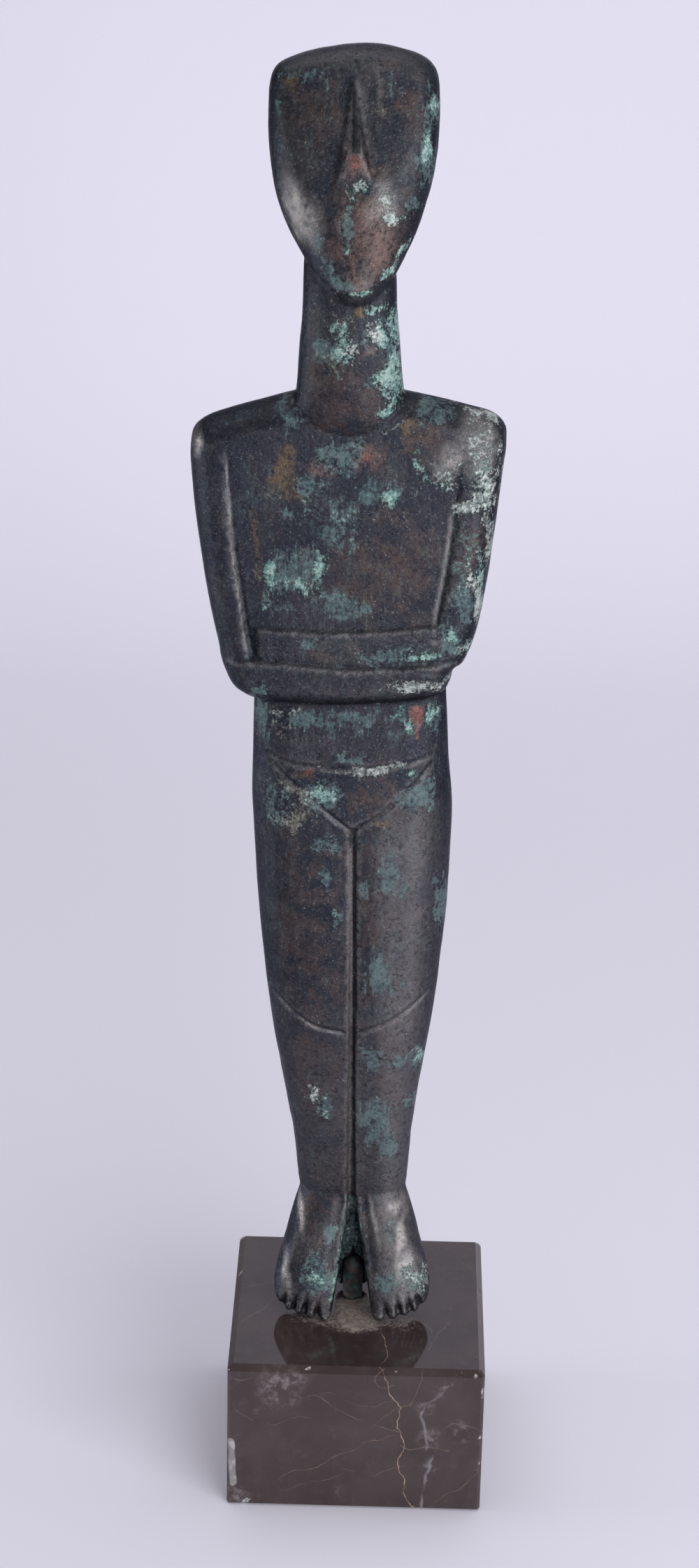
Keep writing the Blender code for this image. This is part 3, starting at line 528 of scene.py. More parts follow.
def head_front(places):
    x, height = places[:, 0], places[:, 1]
    jaw = 1 - soft_step(height, 6, 30)
    fullness = (1.4 + 2.2 * jaw) * (x / HEAD_HALF_WIDTH) ** 2
    return fullness - nose_rise(places)


def head_back(places):
    return HEAD_BACK(places[:, 1]) - 3.0 * (places[:, 0] / HEAD_HALF_WIDTH) ** 2


def head_form():
    def front_rim(places):
        cheek = soft_step(places[:, 1], 2, 14) * (1 - soft_step(places[:, 1], 20, 38))
        return 5.2 + 2.6 * cheek + 1.2 * soft_step(places[:, 1], 44, 54)

    def back_rim(places):
        return np.full(len(places), 8.0)

    outline = curve_through(HEAD_OUTLINE, OUTLINE_STEP, closed=True)
    (top_a, top_b), (tip_a, tip_b), (base_a, base_b) = (
        [np.array(p[:2]) for p in pair] for pair in (NOSE_TOP, NOSE_TIP, NOSE_BASE))
    creases = [curve_through(pair, LINE_STEP) for pair in
               ((top_a, tip_a), (top_b, tip_b), (tip_a, tip_b), (tip_a, base_a), (tip_b, base_b),
                (base_a, top_a), (base_b, top_b), (base_a, base_b))]
    return Form(outline, lambda places: HEAD_MIDDLE(places[:, 1]), head_front, head_back,
                front_rim, back_rim, creases)


# Feet, in a frame that runs down and forward from the ankle line

FOOT_TILT_DEG = 22.0
ANKLE_HEIGHT = 29.2
INSTEP_SLOPE = 0.404
FOOT_OUTLINE = [(1, 6.5), (0.55, -1), (1.7, -10), (3.2, -19), (4.5, -26.5), (5.1, -29.2), (6.4, -30.3),
    (7.7, -29.6), (8.2, -28), (8.8, -29.4), (9.9, -29.9), (10.9, -29.1), (11.2, -27.5), (11.7, -28.7),
    (12.6, -29.1), (13.5, -28.4), (13.9, -26.8), (14.3, -27.8), (15.2, -28), (15.9, -27.1), (16.1, -25.7),
    (16.7, -26.3), (17.7, -25.4), (18.4, -23.2), (18.5, -20), (17.6, -15.5), (15.9, -9.5), (14.2, -3),
    (13.2, 0.2), (12, 3.4), (10.4, 6.6), (8.4, 8.6), (3.4, 8.8)]
FOOT_BACK = profile((-30.5, 2.6), (-28, 5), (-21.5, 10.2), (-15.5, 14.6), (-12, 17), (-8, 17.2), (-3, 14.8),
    (4, 11), (9, 7))
FOOT_FINENESS = 0.6
FOOT_OUTER_RIM = 1.8
FOOT_INNER_RIM = 0.8
# Where the inner edges of the feet lie: x at each height above the marble
FOOT_EDGE_HEIGHTS = (4.6, 11.6, 19.9, 28.3)
FOOT_EDGE_X = (4.5, 3.2, 1.7, 0.55)
TOE_SLITS = [Groove(ends, (0.9, 0.35), (1.5, 0.1)) for ends in (
    ((8.2, -28.2), (7.6, -24.6)), ((11.2, -27.7), (10.3, -23.4)),
    ((13.9, -27.0), (12.6, -22.8)), ((16.1, -25.9), (14.9, -22.4)))]


def foot_form():
    def front(places):
        x, height = places[:, 0], places[:, 1]
        middle_x = 7.2 - 0.14 * height
        instep = 1.4 * ((x - middle_x) / 7.0) ** 2 - 0.5
        ankle = leg_front(np.column_stack([x, np.full(len(x), ANKLE_HEIGHT)]))
        share = soft_step(-height, 0, 12)
        toes = 0.7 * soft_step(-height, 23, 30)
        return (1 - share) * ankle + share * instep + toes + carve(TOE_SLITS, places)

    def back(places):
        return FOOT_BACK(places[:, 1])

    def middle(places):
        return 0.42 * FOOT_BACK(places[:, 1])

    def rim(places):
        x, height = places[:, 0], places[:, 1]
        outer = soft_step(x, 3, 9) * soft_step(height, -14, -2)
        round_side = soft_step(x - np.interp(height, (-30, 0), (5.0, 0.6)), 0.4, 2.4)
        full = np.clip(0.30 * FOOT_BACK(height), 1.6, 3.6) + outer * FOOT_OUTER_RIM
        return FOOT_INNER_RIM + round_side * (full - FOOT_INNER_RIM)

    outline = curve_through(FOOT_OUTLINE, FOOT_FINENESS * OUTLINE_STEP, closed=True)
    return Form(outline, middle, front, back, rim, rim, all_lines(TOE_SLITS), fineness=FOOT_FINENESS)


# Joining and shaping meshes

def add_object(name, data):
    piece = bpy.data.objects.new(name, data)
    bpy.context.scene.collection.objects.link(piece)
    return piece


def reshape(piece, kind, **settings):
    """Gives a piece a modifier and applies it."""
    modifier = piece.modifiers.new("shape", kind)
    for name, value in settings.items():
        setattr(modifier, name, value)
    bpy.context.view_layer.update()
    settled = piece.evaluated_get(bpy.context.evaluated_depsgraph_get())
    piece.data = bpy.data.meshes.new_from_object(settled)
    piece.modifiers.clear()


def cut(target, tool):
    reshape(target, "BOOLEAN", object=tool, operation="DIFFERENCE", solver="EXACT")
    bpy.data.objects.remove(tool)


def turned_bar(name, radius, bottom, top, domed):
    """A closed bar on the pin's axis in metres, with a domed or a flat top."""
    rings = [(radius, bottom)]
    if domed:
        turns = [0.5 * math.pi * k / DOME_STEPS for k in range(DOME_STEPS)]
        rings += [(radius * math.cos(turn), top - radius * (1 - math.sin(turn))) for turn in turns]
    else:
        rings.append((radius, top))
    vertices = [(PIN_X + r * math.cos(a), PIN_Y + r * math.sin(a), z) for r, z in rings
                for a in (2 * math.pi * k / PIN_SIDES for k in range(PIN_SIDES))]
    low, high = len(vertices), len(vertices) + 1
    vertices += [(PIN_X, PIN_Y, bottom), (PIN_X, PIN_Y, top)]
    last = (len(rings) - 1) * PIN_SIDES
    faces = []
    for k in range(PIN_SIDES):
        n = (k + 1) % PIN_SIDES
        faces.append((low, n, k))
        faces += [(row + k, row + n, row + PIN_SIDES + n, row + PIN_SIDES + k)
                  for row in range(0, last, PIN_SIDES)]
        faces.append((high, last + k, last + n))
    return add_object(name, new_mesh(name, vertices, faces))


def read_rows(items, key, width, kind=np.float32):
    """What each of a mesh's items holds under a key, one row an item."""
    values = np.empty(width * len(items), kind)
    items.foreach_get(key, values)
    return values.reshape(-1, width)


def vertex_places(mesh):
    return read_rows(mesh.vertices, "co", 3).astype(float)


def vertex_normals(mesh):
    return read_rows(mesh.vertex_normals, "vector", 3).astype(float)


def edge_ends(mesh):
    return read_rows(mesh.edges, "vertices", 2, np.int32)


def set_places(mesh, places):
    mesh.vertices.foreach_set("co", places.astype(np.float32).ravel())
    mesh.update()


def neighbour_mean(values, ends):
    """For each vertex, the mean of a value over the vertices that share an edge with it."""
    total = np.zeros_like(values)
    count = np.bincount(ends.ravel(), minlength=len(values)).astype(float)
    np.add.at(total, ends[:, 0], values[ends[:, 1]])
    np.add.at(total, ends[:, 1], values[ends[:, 0]])
    count = np.maximum(count, 1)
    return total / (count[:, None] if values.ndim == 2 else count)


def relax(mesh, rounds, share):
    """Smooths a mesh a little without shrinking it."""
    places, ends = vertex_places(mesh), edge_ends(mesh)
    for _ in range(rounds):
        places = places + share * (neighbour_mean(places, ends) - places)
        places = places - 1.02 * share * (neighbour_mean(places, ends) - places)
    set_places(mesh, places)


# Large odd numbers that scatter the cells' values
CELL_FACTORS = (73856093, 19349663, 83492791)
SEED_FACTOR = 2654435761
MIX_FACTOR = 1274126177


def lattice(cells, seed):
    """A steady random value from -1 to 1 for each whole-numbered cell."""
    mixed = np.bitwise_xor.reduce(cells * CELL_FACTORS, axis=1) ^ (seed * SEED_FACTOR)
    mixed = (mixed ^ (mixed >> 13)) * MIX_FACTOR
    return ((mixed ^ (mixed >> 16)) & 0xFFFF) / 0x8000 - 1.0


def soft_noise(points, size, seed):
    """Smooth noise from -1 to 1 with features of about the given size."""
    cells = np.floor(points / size).astype(np.int64)
    share = points / size - cells
    share = share * share * (3 - 2 * share)
    total = np.zeros(len(points))
    for corner in ((i, j, k) for i in (0, 1) for j in (0, 1) for k in (0, 1)):
        weight = np.prod(np.where(corner, share, 1 - share), axis=1)
        total += weight * lattice(cells + corner, seed)
    return total


def set_field(mesh, name, values):
    """Stores one number at each vertex for the materials to read."""
    layer = mesh.attributes.new(name, "FLOAT", "POINT")
    layer.data.foreach_set("value", values.astype(np.float32))


# The figure's surface: what lies where, in canon millimetres.
# A blotch is (x, height above the marble, half width, half height), with degrees where it is turned

TEAL_BLOTCHES = [(-9.9, 291.7, 5.3, 1.1, 8), (9.1, 289.8, 2.2, 2.2), (16.6, 284, 1.4, 6.5),
    (16, 275, 1.8, 5), (12.8, 266.2, 1.4, 1.4), (-7.6, 259, 1.3, 2, 20), (-4.5, 253.5, 3.5, 1.6, -45),
    (-0.9, 262, 1.1, 4.5), (-2.5, 250.9, 2.4, 1.8), (8.2, 237.5, 1.9, 5), (-15.2, 286, 0.8, 2.4),
    (-4.5, 235.5, 3.2, 3), (3.6, 229, 2.2, 1.6), (-2.9, 212.1, 5, 4.8), (-9.1, 205.2, 4.2, 2.2),
    (5.6, 204, 5.2, 3), (-13.8, 198.7, 2.6, 1.2, -10), (-6, 194.6, 4.2, 2.8), (-12.7, 187.2, 8.2, 5.6),
    (-16.8, 178.4, 4.2, 1), (-1.4, 177.9, 6, 2.8), (18, 221.9, 4.2, 3), (-13, 221.5, 2.8, 3.4),
    (24.2, 179.1, 3.6, 3.6), (21.5, 171, 3, 4.5), (6.4, 167.3, 4.6, 2.2), (-9.1, 170.1, 2.2, 1.1),
    (-20.4, 159.9, 2.2, 1.8), (-7.1, 150.9, 9.5, 2), (0, 152.4, 6, 1.6), (10.4, 152.6, 3, 2.4),
    (18.6, 150, 1.6, 4.4), (12.4, 148, 1.6, 2.6), (-20.2, 151, 2, 6), (0.4, 142.5, 3.6, 1.2),
    (-6.8, 133.4, 3.8, 3.4), (-5.6, 122.2, 3.2, 2.2), (-5.6, 113.9, 1.5, 2.4), (-4.5, 103.8, 2.6, 2.2),
    (9.4, 113.6, 3.4, 5.4), (3.4, 111.2, 1.8, 2.8), (6, 91.6, 2.8, 5.6), (20.2, 105.5, 1.6, 7.5),
    (15, 133.6, 5.2, 4), (-16.8, 131, 3, 5), (5.2, 67.3, 3.2, 3.4), (11.4, 66.3, 2.4, 1.6),
    (15.4, 65.4, 2, 3), (4.7, 50.2, 4.2, 6.2), (13.4, 53.3, 1.6, 2.6), (7, 43.6, 3.6, 3.8),
    (-6.1, 53, 2, 2.8), (7, 86.3, 4, 2), (-8.1, 11.8, 3.6, 3.8), (-5, 19.9, 1.5, 2.4), (8.6, 9.6, 2.4, 2.6),
    (14.2, 10.5, 3.2, 3.4), (9, 21.7, 1.4, 1.8)]
FILM_BLOTCHES = [(-4, 199, 9, 11), (0, 150, 12, 4), (3, 237, 4, 6), (-7, 133, 6, 5), (24, 190, 4, 14),
    (12, 168, 7, 3)]
MINT_BLOTCHES = [(27.5, 211, 3.6, 4.6), (20.2, 207.4, 2.6, 3.4, -20), (28.8, 203.5, 2.4, 4),
    (1.5, 270.6, 2.7, 2.1), (16.8, 285, 0.9, 4.5), (16.4, 276.5, 1.3, 3.6), (8.8, 263.3, 2.8, 1.1),
    (1.5, 249.2, 4.4, 0.9, 8), (7.2, 252.4, 3.4, 0.9, 38), (10.9, 257.2, 2.6, 0.8, 52),
    (-0.5, 257.1, 1.4, 0.8), (8.9, 240, 1.5, 6.5), (9.2, 228.5, 2.6, 4.8), (5.6, 238.6, 1.6, 3.6),
    (-1.8, 235.4, 2.6, 1.6), (5, 244, 2, 1.4), (-1.6, 238.8, 2, 3.2), (-4, 241, 1.2, 2),
    (4.5, 229.2, 1.9, 1.7), (7.1, 222, 2.2, 1.4, 25), (8.4, 203.4, 2, 2.6), (-18.3, 186.8, 1.5, 4.8),
    (-11.5, 183.2, 7.4, 1.5), (-6.4, 187.7, 1.8, 3.8), (-17.6, 178.3, 3.4, 0.7), (14.1, 212.1, 0.9, 3.6),
    (15, 208.6, 1.4, 4, 25), (25, 200.7, 2.8, 1.6), (30.6, 191, 0.9, 6.5), (9.4, 233.5, 1.3, 6.5),
    (28, 183.6, 1.3, 6), (24.8, 168.8, 3.2, 2.6), (21.5, 172.6, 1.6, 2.2), (17.4, 167.4, 2.4, 1),
    (13.4, 166.9, 3, 0.9), (10.2, 153.6, 2.8, 1.8), (12.6, 149.4, 1.3, 2.8), (17.9, 151.6, 1.2, 3.4),
    (12.4, 139.4, 2.6, 1.3), (-6.8, 133.8, 2.6, 2.3), (-4.6, 104, 1.7, 1.3), (15.7, 65.6, 1.3, 2),
    (-6, 54.6, 1.2, 1), (-6.3, 50.7, 1, 0.9), (14.9, 9.8, 2, 2.2), (-8.4, 11.4, 1.8, 2)]
PALE_BLOTCHES = [(6.9, 267.6, 2.6, 1.8), (8.2, 263.8, 1.8, 2.2), (4.2, 239.6, 1.4, 2.4),
    (1.7, 233.1, 3.4, 0.6), (0.4, 236, 2.6, 1.2), (27, 212.5, 5.2, 5.4), (20, 208.6, 4.6, 3.6, -20),
    (28.4, 204.8, 3.4, 5.6), (24.6, 201.2, 3, 2.4), (28.8, 220.4, 4.4, 1.4, -12), (29.8, 193, 1.4, 7, 4),
    (27.2, 180, 1.6, 9, 8), (24.2, 168.4, 3, 2.6), (8.3, 218.6, 3.2, 0.7, 25), (14.1, 160.9, 7, 1.5),
    (2.6, 139.4, 8.6, 1), (10.6, 140.6, 3, 0.8, 14), (-9.3, 57.1, 1.5, 2.6), (15.2, 10.6, 2.4, 3),
    (1.4, 270.8, 2.3, 1.5), (-16, 152.6, 4, 1.2)]
CREAM_BLOTCHES = [(-1.6, 240.4, 3.4, 4.2), (-4.1, 244, 1.6, 1.2), (-2.5, 235.2, 3.4, 1.8),
    (-10.9, 138.2, 4, 0.8, -14), (-13.5, 128.4, 6, 3.4), (10.2, 225.4, 1, 2.2), (4.8, 284.4, 1.8, 5.4, -8),
    (-12.6, 134.4, 5, 1.6, -41), (-15.5, 149, 3, 2.4)]
BROWN_BLOTCHES = [(4.5, 262, 8, 11), (-7.9, 284.2, 5, 4.5), (12.1, 286.8, 3.4, 3.4), (8.1, 293.3, 4, 1.6),
    (-1.4, 224.4, 6.5, 7), (-5.1, 228.5, 5, 4), (7.1, 186, 11, 9), (2.5, 211.3, 3.2, 3),
    (-12.5, 187.5, 5, 3.6), (25.7, 192.1, 4, 5), (15.5, 215.5, 5, 4), (-2.9, 168.1, 4.5, 2.2),
    (6.4, 132, 7.5, 4.6), (4.9, 107.3, 4.6, 3.6), (4.9, 98.8, 4.6, 3.6), (-12.4, 98.8, 7, 10),
    (11, 74, 7, 8), (12, 60, 6, 6), (-9, 66, 6, 8), (7.5, 22, 4, 5), (-9, 25, 4, 3)]
RED_BLOTCHES = [(3.4, 264.4, 5.2, 3.6), (5.2, 257, 4.6, 5), (1.2, 251.4, 2.6, 2), (1.5, 275.2, 2.8, 3.2),
    (-7.2, 208.5, 2.8, 2), (2.5, 211.3, 2.6, 2.4), (15, 151.3, 1.9, 2.9), (3.1, 235.6, 2.2, 2),
    (-4.5, 256.4, 2.6, 2.4)]
RUST_BLOTCHES = [(15, 151.9, 1.5, 2.2), (14.6, 147.6, 0.7, 1.3), (1, 275.6, 0.8, 1.2),
    (-9.4, 139, 1.6, 0.8), (3, 211.6, 1.2, 1.2)]
OCHRE_BLOTCHES = [(-13.8, 212.1, 2.6, 2.2), (-15.8, 206.8, 3.2, 3.2), (-13, 203.2, 3.4, 1.8),
    (6.8, 127, 2.6, 1), (-4.1, 233.3, 1.9, 2), (1.7, 243.9, 1.5, 1.5), (11.5, 218.5, 2.4, 2),
    (-20.6, 190, 1, 10, 4), (-11.9, 290.1, 2.4, 1.4), (-10, 138, 3.5, 1, -14)]
# Polished metal spots, placed where the lamps' highlights fall: lighter and glossier, so partly painted
# highlight
POLISHED_BLOTCHES = [(-11.2, 265.2, 2.4, 5.6, 19), (-33.5, 214.6, 0.9, 2.6), (27.2, 214, 3.2, 4.6, 12),
    (20.5, 211.5, 2, 2.6, -30), (6.9, 266.6, 2.6, 2.8), (-15.2, 10.8, 0.7, 3.6, 8),
    (-12.2, 24.6, 0.6, 3.2, 7), (10.4, 26.6, 1.6, 1.3, 15), (11.8, 20.5, 0.8, 4, -12),
    (13.4, 13.2, 2.4, 2.8), (5.4, 23, 0.4, 4, 12)]
STREAKED_BLOTCHES = [(-12.7, 187.2, 10, 8), (5, 204, 9, 6), (-3, 177.5, 9, 5), (9.4, 112, 6, 10),
    (6, 91, 6, 9), (-13, 221, 5, 5), (0, 150, 22, 5), (5, 48, 8, 10)]
# Each field with its blotches, and the number and size of those scattered over the side out of sight
BLOTCHES = (
    ("teal", TEAL_BLOTCHES, 46, 4.0), ("mint", MINT_BLOTCHES, 12, 2.6), ("pale", PALE_BLOTCHES, 7, 2.8),
    ("cream", CREAM_BLOTCHES, 3, 2.4), ("brown", BROWN_BLOTCHES, 18, 8.0), ("red", RED_BLOTCHES, 8, 3.0),
    ("ochre", OCHRE_BLOTCHES, 6, 3.0), ("streaked", STREAKED_BLOTCHES, 8, 9.0),
    ("polished", POLISHED_BLOTCHES, 5, 3.0), ("rust", RUST_BLOTCHES, 3, 1.6))
SCATTER_SEED = 40
SCATTER_HEIGHTS = (10, 292)
SCATTER_SPREAD = (-22, 22)
# Blotches narrower than this keep closer to where they are drawn
FULL_DRIFT_SIZE = 2.6
# The shares of its reach where a blotch starts to fade and where it ends
BLOTCH_FADE = (0.15, 2.05)

# Lines whose lower wall catches the light, each with how strongly
LIT_GROOVES = [(LOINS[0], 0.9), (LOINS[1], 0.8), (KNEES[0], 0.9), (KNEES[1], 0.8), (BELLY_LINE, 0.5),
               (FOREARM_TOP_GROOVE, 0.35), (FOREARM_SPLIT_GROOVE, 0.45)]
# The edges of the nose in the figure's frame, from the bottom of each up to its top
NOSE_BOTTOM, NOSE_TURN, NOSE_CREST = 269.7, 277.1, 291.9


def blotch_field(places, drift, normals, blotches, facing=-1):
    """1 at the middle of a blotch on the side that faces the given way, falling to 0 past its ragged rim."""
    field = np.zeros(len(places))
    for x, height, half_width, half_height, *turned in blotches:
        share = min(1.0, min(half_width, half_height) / FULL_DRIFT_SIZE)
        across = places[:, 0] + share * drift[:, 0] - x
        up = places[:, 2] + share * drift[:, 1] - height
        turn = math.radians(sum(turned))
        along = across * math.cos(turn) + up * math.sin(turn)
        over = up * math.cos(turn) - across * math.sin(turn)
        reach = np.sqrt((along / half_width) ** 2 + (over / half_height) ** 2)
        field = np.maximum(field, 1 - soft_step(reach, *BLOTCH_FADE))
    return field * soft_step(facing * normals[:, 1], -0.35, 0.15)


def drift_of(places):
    """How far the rims of blotches wander sideways and up at each place."""
    return np.column_stack([0.9 * soft_noise(places, 7.0, seed) + 1.6 * soft_noise(places, 3.2, seed + 1)
                            + 1.0 * soft_noise(places, 1.3, seed + 2) for seed in (11, 14)])


def seeded_blotches(seed, count, size):
    """A scatter of blotches for the sides that the photo doesn't show."""
    random = np.random.default_rng(seed)
    for _ in range(count):
        height, x = random.uniform(*SCATTER_HEIGHTS), random.uniform(*SCATTER_SPREAD)
        yield (x, height, size * random.uniform(0.5, 1.4), size * random.uniform(0.5, 1.6),
               random.uniform(-40, 40))


def dents(places, seed, count, radius, depth):
    """Small hollows scattered over the figure."""
    random = np.random.default_rng(seed)
    middles = places[random.integers(0, len(places), count)]
    order = np.argsort(places[:, 2])
    heights = places[order, 2]
    sunk = np.zeros(len(places))
    for middle in middles:
        reach = radius * random.uniform(0.5, 1.3)
        depth_here = depth * random.uniform(0.4, 1.2)
        low, high = np.searchsorted(heights, (middle[2] - reach, middle[2] + reach))
        near = order[low:high]
        share = np.linalg.norm(places[near] - middle, axis=1) / reach
        sunk[near] = np.maximum(sunk[near], depth_here * np.clip(1 - share ** 2, 0, 1))
    return sunk


def tilted(place, degrees, axis):
    """A lean about an axis, then a move to a place."""
    return Matrix.Translation(place) @ Matrix.Rotation(-math.radians(degrees), 4, axis)


def fused_figure():
    """Every form of the figure, joined into one closed mesh with small fillets."""
    stand = Matrix.Identity(4)
    foot_place = tilted((0, 0, ANKLE_HEIGHT), FOOT_TILT_DEG, "X")
    mirror = Matrix.Scale(-1, 4, Vector((1, 0, 0)))
    left_foot = foot_form().mesh("left_foot", mirror @ foot_place)
    left_foot.flip_normals()
    joined = bmesh.new()
    for mesh in (torso_form().mesh("torso", stand), leg_form().mesh("legs", stand), shaft_mesh("neck", *NECK),
                 head_form().mesh("head", tilted(CHIN_PLACE, HEAD_TILT_DEG, "X")),
                 foot_form().mesh("right_foot", foot_place), left_foot, shaft_mesh("web", *WEB)):
        joined.from_mesh(mesh)
    figure = add_object("figure", bpy.data.meshes.new("figure"))
    joined.to_mesh(figure.data)
    joined.free()
    reshape(figure, "REMESH", mode="VOXEL", voxel_size=VOXEL)
    relax(figure.data, rounds=3, share=0.5)
    triangles = sum(len(p.vertices) - 2 for p in figure.data.polygons)
    reshape(figure, "DECIMATE", ratio=min(1.0, FIGURE_FACES / triangles))
    return figure


def bell(value, middle, width):
    return np.exp(-((value - middle) / width) ** 2)


def lit_lines(x, height):
    """How much light the lower wall of a carved line catches."""
    lit = np.zeros(len(x))
    for groove, amount in LIT_GROOVES:
        line = groove.path[np.argsort(groove.path[:, 0])]
        off_line = height - level_of(line)(x)
        along = soft_step(x - line[0][0], 0, 1.5) * soft_step(line[-1][0] - x, 0, 1.5)
        lit = np.maximum(lit, amount * bell(off_line, -0.55, 0.38) * along)
    return lit


def weather_figure(mesh):
    """Hand-worked waves, dents and pits, and the fields that the material reads."""
    places, normals, ends = vertex_places(mesh), vertex_normals(mesh), edge_ends(mesh)
    bend = np.einsum("ij,ij->i", neighbour_mean(places, ends) - places, normals)
    for _ in range(2):
        bend = 0.5 * bend + 0.5 * neighbour_mean(bend, ends)
    x, depth, height = places[:, 0], places[:, 1], places[:, 2]
    aside, in_front = np.abs(normals[:, 0]), soft_step(-normals[:, 1], -0.2, 0.2)
    legs = 1 - soft_step(height, 118, 140)
    off_left = x - side_of(LEFT_ARM_EDGE)(height)
    off_right = x - side_of(RIGHT_ARM_EDGE)(height)
    off_cleft = x - side_of(CLEFT_EDGE)(height)

    fields, drift = {}, drift_of(places)
    for number, (name, blotches, count, size) in enumerate(BLOTCHES):
        behind = seeded_blotches(SCATTER_SEED + number, count, size)
        fields[name] = np.maximum(blotch_field(places, drift, normals, blotches),
                                  blotch_field(places, drift, normals, behind, facing=1))

    def lift(**layers):
        """Brings each field up to a layer where the layer is the stronger one."""
        for name, layer in layers.items():
            fields[name] = np.maximum(fields[name], layer) if name in fields else layer

    film = blotch_field(places, drift, normals, FILM_BLOTCHES)
    lift(teal=0.62 * film, mint=0.45 * film)

    # Between the feet and the heels
    behind_instep = depth - INSTEP_SLOPE * (height - ANKLE_HEIGHT)
    foot_gap = (soft_step(5.6 - np.abs(x), 0, 1.6) * soft_step(30 - height, 0, 5)
                * soft_step(aside, 0.55, 0.85) * (1 - soft_step(behind_instep, 0.8, 2.8)))
    in_hollow = soft_step(5.0 - np.abs(x), 0, 1.0) * soft_step(30 - height, 0, 4) * soft_step(depth, 1.4, 2.8)
    lift(mint=0.75 * foot_gap, teal=np.maximum(foot_gap, 0.62 * in_hollow))
    fields["brown"] *= 1 - in_hollow

    # Painted blue-black shade on the left side, on faces turned sideways and on the crown, and brown on the
    # legs
    fields["blue"] = np.clip(0.75 * soft_step(-x, 9, 27) + 0.9 * soft_step(aside, 0.45, 0.85)
                             + 0.8 * soft_step(height, 291, 297), 0, 1)
    shins = (1 - soft_step(height, 55, 90)) * (height > ANKLE_HEIGHT)
    # Painted shade between the feet, and painted sheen on the right side of the legs
    lift(blue=in_hollow, brown=0.45 * legs * (1 - in_hollow), hollow=0.5 * in_hollow,
         rubbed=legs * soft_step(x, 3, 9) * (1 - 0.5 * soft_step(x, 13, 18)))
    # Painted sheen on the shins, painted shade in concave creases, and convex edges lighter as wear and
    # painted highlight
    lift(rubbed=0.45 * shins, hollow=np.clip(bend / 0.055, 0, 1), worn=np.clip(-bend / 0.022 - 0.25, 0, 1))
    # More painted sheen on the right shin
    fields["rubbed"] *= 1 + 0.35 * (1 - soft_step(height, 60, 100)) * (height > ANKLE_HEIGHT) * (x > 0)

    # Painted highlights: on the lips of the arms' lines, and on the lower walls of the other carved lines
    # where they catch the light
    width = np.interp(height, (167, 213), (0.34, 0.19))
    on_arm = band(height, 166.5, 168.5, 211, 214) * in_front
    lip = bell(off_left, -1.9 * width, width) * on_arm * (0.6 + 0.4 * soft_noise(places, 5.0, 17))
    lip = np.maximum(lip, 0.5 * bell(off_right, -0.9, 0.4) * on_arm * (1 - soft_step(height, 196, 204)))
    lit = lit_lines(x, height) * in_front * (0.55 + 0.6 * soft_noise(places, 2.4, 19))

    # The nose: a darker ridge between flanks lightened with painted light
    on_nose = band(height, 276.6, 277.4, 289, 292) * in_front
    ridge_left = x - np.interp(height, (NOSE_TURN, NOSE_CREST), (0.1, 0.2))
    ridge_right = np.interp(height, (NOSE_TURN, NOSE_CREST), (1.9, 0.4)) - x
    ridge = soft_step(np.minimum(ridge_left, ridge_right), -0.25, 0.15) * on_nose
    flank_left = x - np.interp(height, (NOSE_BOTTOM, NOSE_CREST), (-3.6, 0.2))
    flank = soft_step(flank_left, 0.0, 0.8) * soft_step(-ridge_left, 0.0, 0.4)
    flank = 0.9 * np.maximum(flank, band(-ridge_right, 0.0, 0.3, 0.5, 2.6)) * on_nose
    # Painted highlights on the lips, lit lines and nose flanks, and painted sheen on the crown
    lift(polished=np.maximum(lip, 0.5 * lit), worn=np.maximum.reduce([lip, lit, flank]),
         rubbed=np.maximum(flank, 0.6 * soft_step(height, 290, 296)))
    for name in ("teal", "mint", "pale", "cream", "red", "worn"):
        fields[name] *= 1 - 0.8 * ridge
        if name != "worn":
            fields[name] *= 1 - 0.55 * np.clip(lit, 0, 1) * (height > 128)

    # The inner edges of the feet, what shows between them, and the cleft between the legs with its painted
    # light and shade
    inner_edge = np.interp(height, FOOT_EDGE_HEIGHTS, FOOT_EDGE_X)
    on_edge = (bell(np.abs(x) - inner_edge, 0.30, 0.78) * band(height, 3, 6, 24, 28)
               * (1 - soft_step(behind_instep, 1.5, 2.5)))
    in_gap = ((1 - soft_step(np.abs(x) - inner_edge, 0.0, 0.8)) * band(height, 7, 11, 27, 30)
              * soft_step(behind_instep, 0.6, 1.8))
    lift(mint=0.95 * on_edge * (x < 0), teal=np.maximum(on_edge * np.where(x < 0, 1.0, 0.6), 0.9 * in_gap),
         ochre=0.9 * on_edge * (x > 0), pale=0.55 * in_gap)
    on_cleft = band(height, 18, 24, 119, 123) * in_front
    # Painted light on the cleft's left wall, which faces the lamps
    fields["wall"] = np.exp(-((off_cleft + 0.62) / 0.46) ** 4) * on_cleft
    fields["hollow"] *= 1 - fields["wall"]
    # Painted shade along the cleft's bottom, and the nose ridge darkened with the same layer
    lift(hollow=np.maximum(bell(off_cleft, 0.35, 0.45) * on_cleft, 0.9 * ridge))
    for name, values in fields.items():
        set_field(mesh, name, values)

    green, pale = fields["teal"], np.maximum(fields["mint"], fields["pale"])
    waves = 0.10 * soft_noise(places, 13.0, 3) + 0.05 * soft_noise(places, 5.0, 4)
    pitted = 0.35 + 0.65 * np.clip(green + pale, 0, 1)
    carved = np.abs(np.column_stack([off_left, off_right, off_cleft])).min(axis=1)
    calm = 0.2 + 0.8 * soft_step(carved, 1.5, 3.0)
    hammered = dents(places, seed=21, count=260, radius=2.4, depth=0.10)
    pits = dents(places, seed=22, count=2600, radius=0.8, depth=0.12)
    sunk = (hammered + pits * pitted) * calm
    crust = 0.05 * np.clip(green, 0, 1) * np.clip(soft_noise(places, 1.6, 6) * 2, 0, 1)
    set_places(mesh, places + normals * (waves - sunk + crust)[:, None])


def darken_bore(mesh, reach):
    """Paints the darkest painted shade on the wall round the pin."""
    x, y, z = vertex_places(mesh).T
    near = (np.hypot(x - PIN_X, y - PIN_Y) < reach) & (z < PIN_HIGH[2] + reach)
    for name in ("hollow", "blue"):
        layer = mesh.attributes[name].data
        values = read_rows(layer, "value", 1).ravel()
        values[near] = 1.0
        layer.foreach_set("value", values)


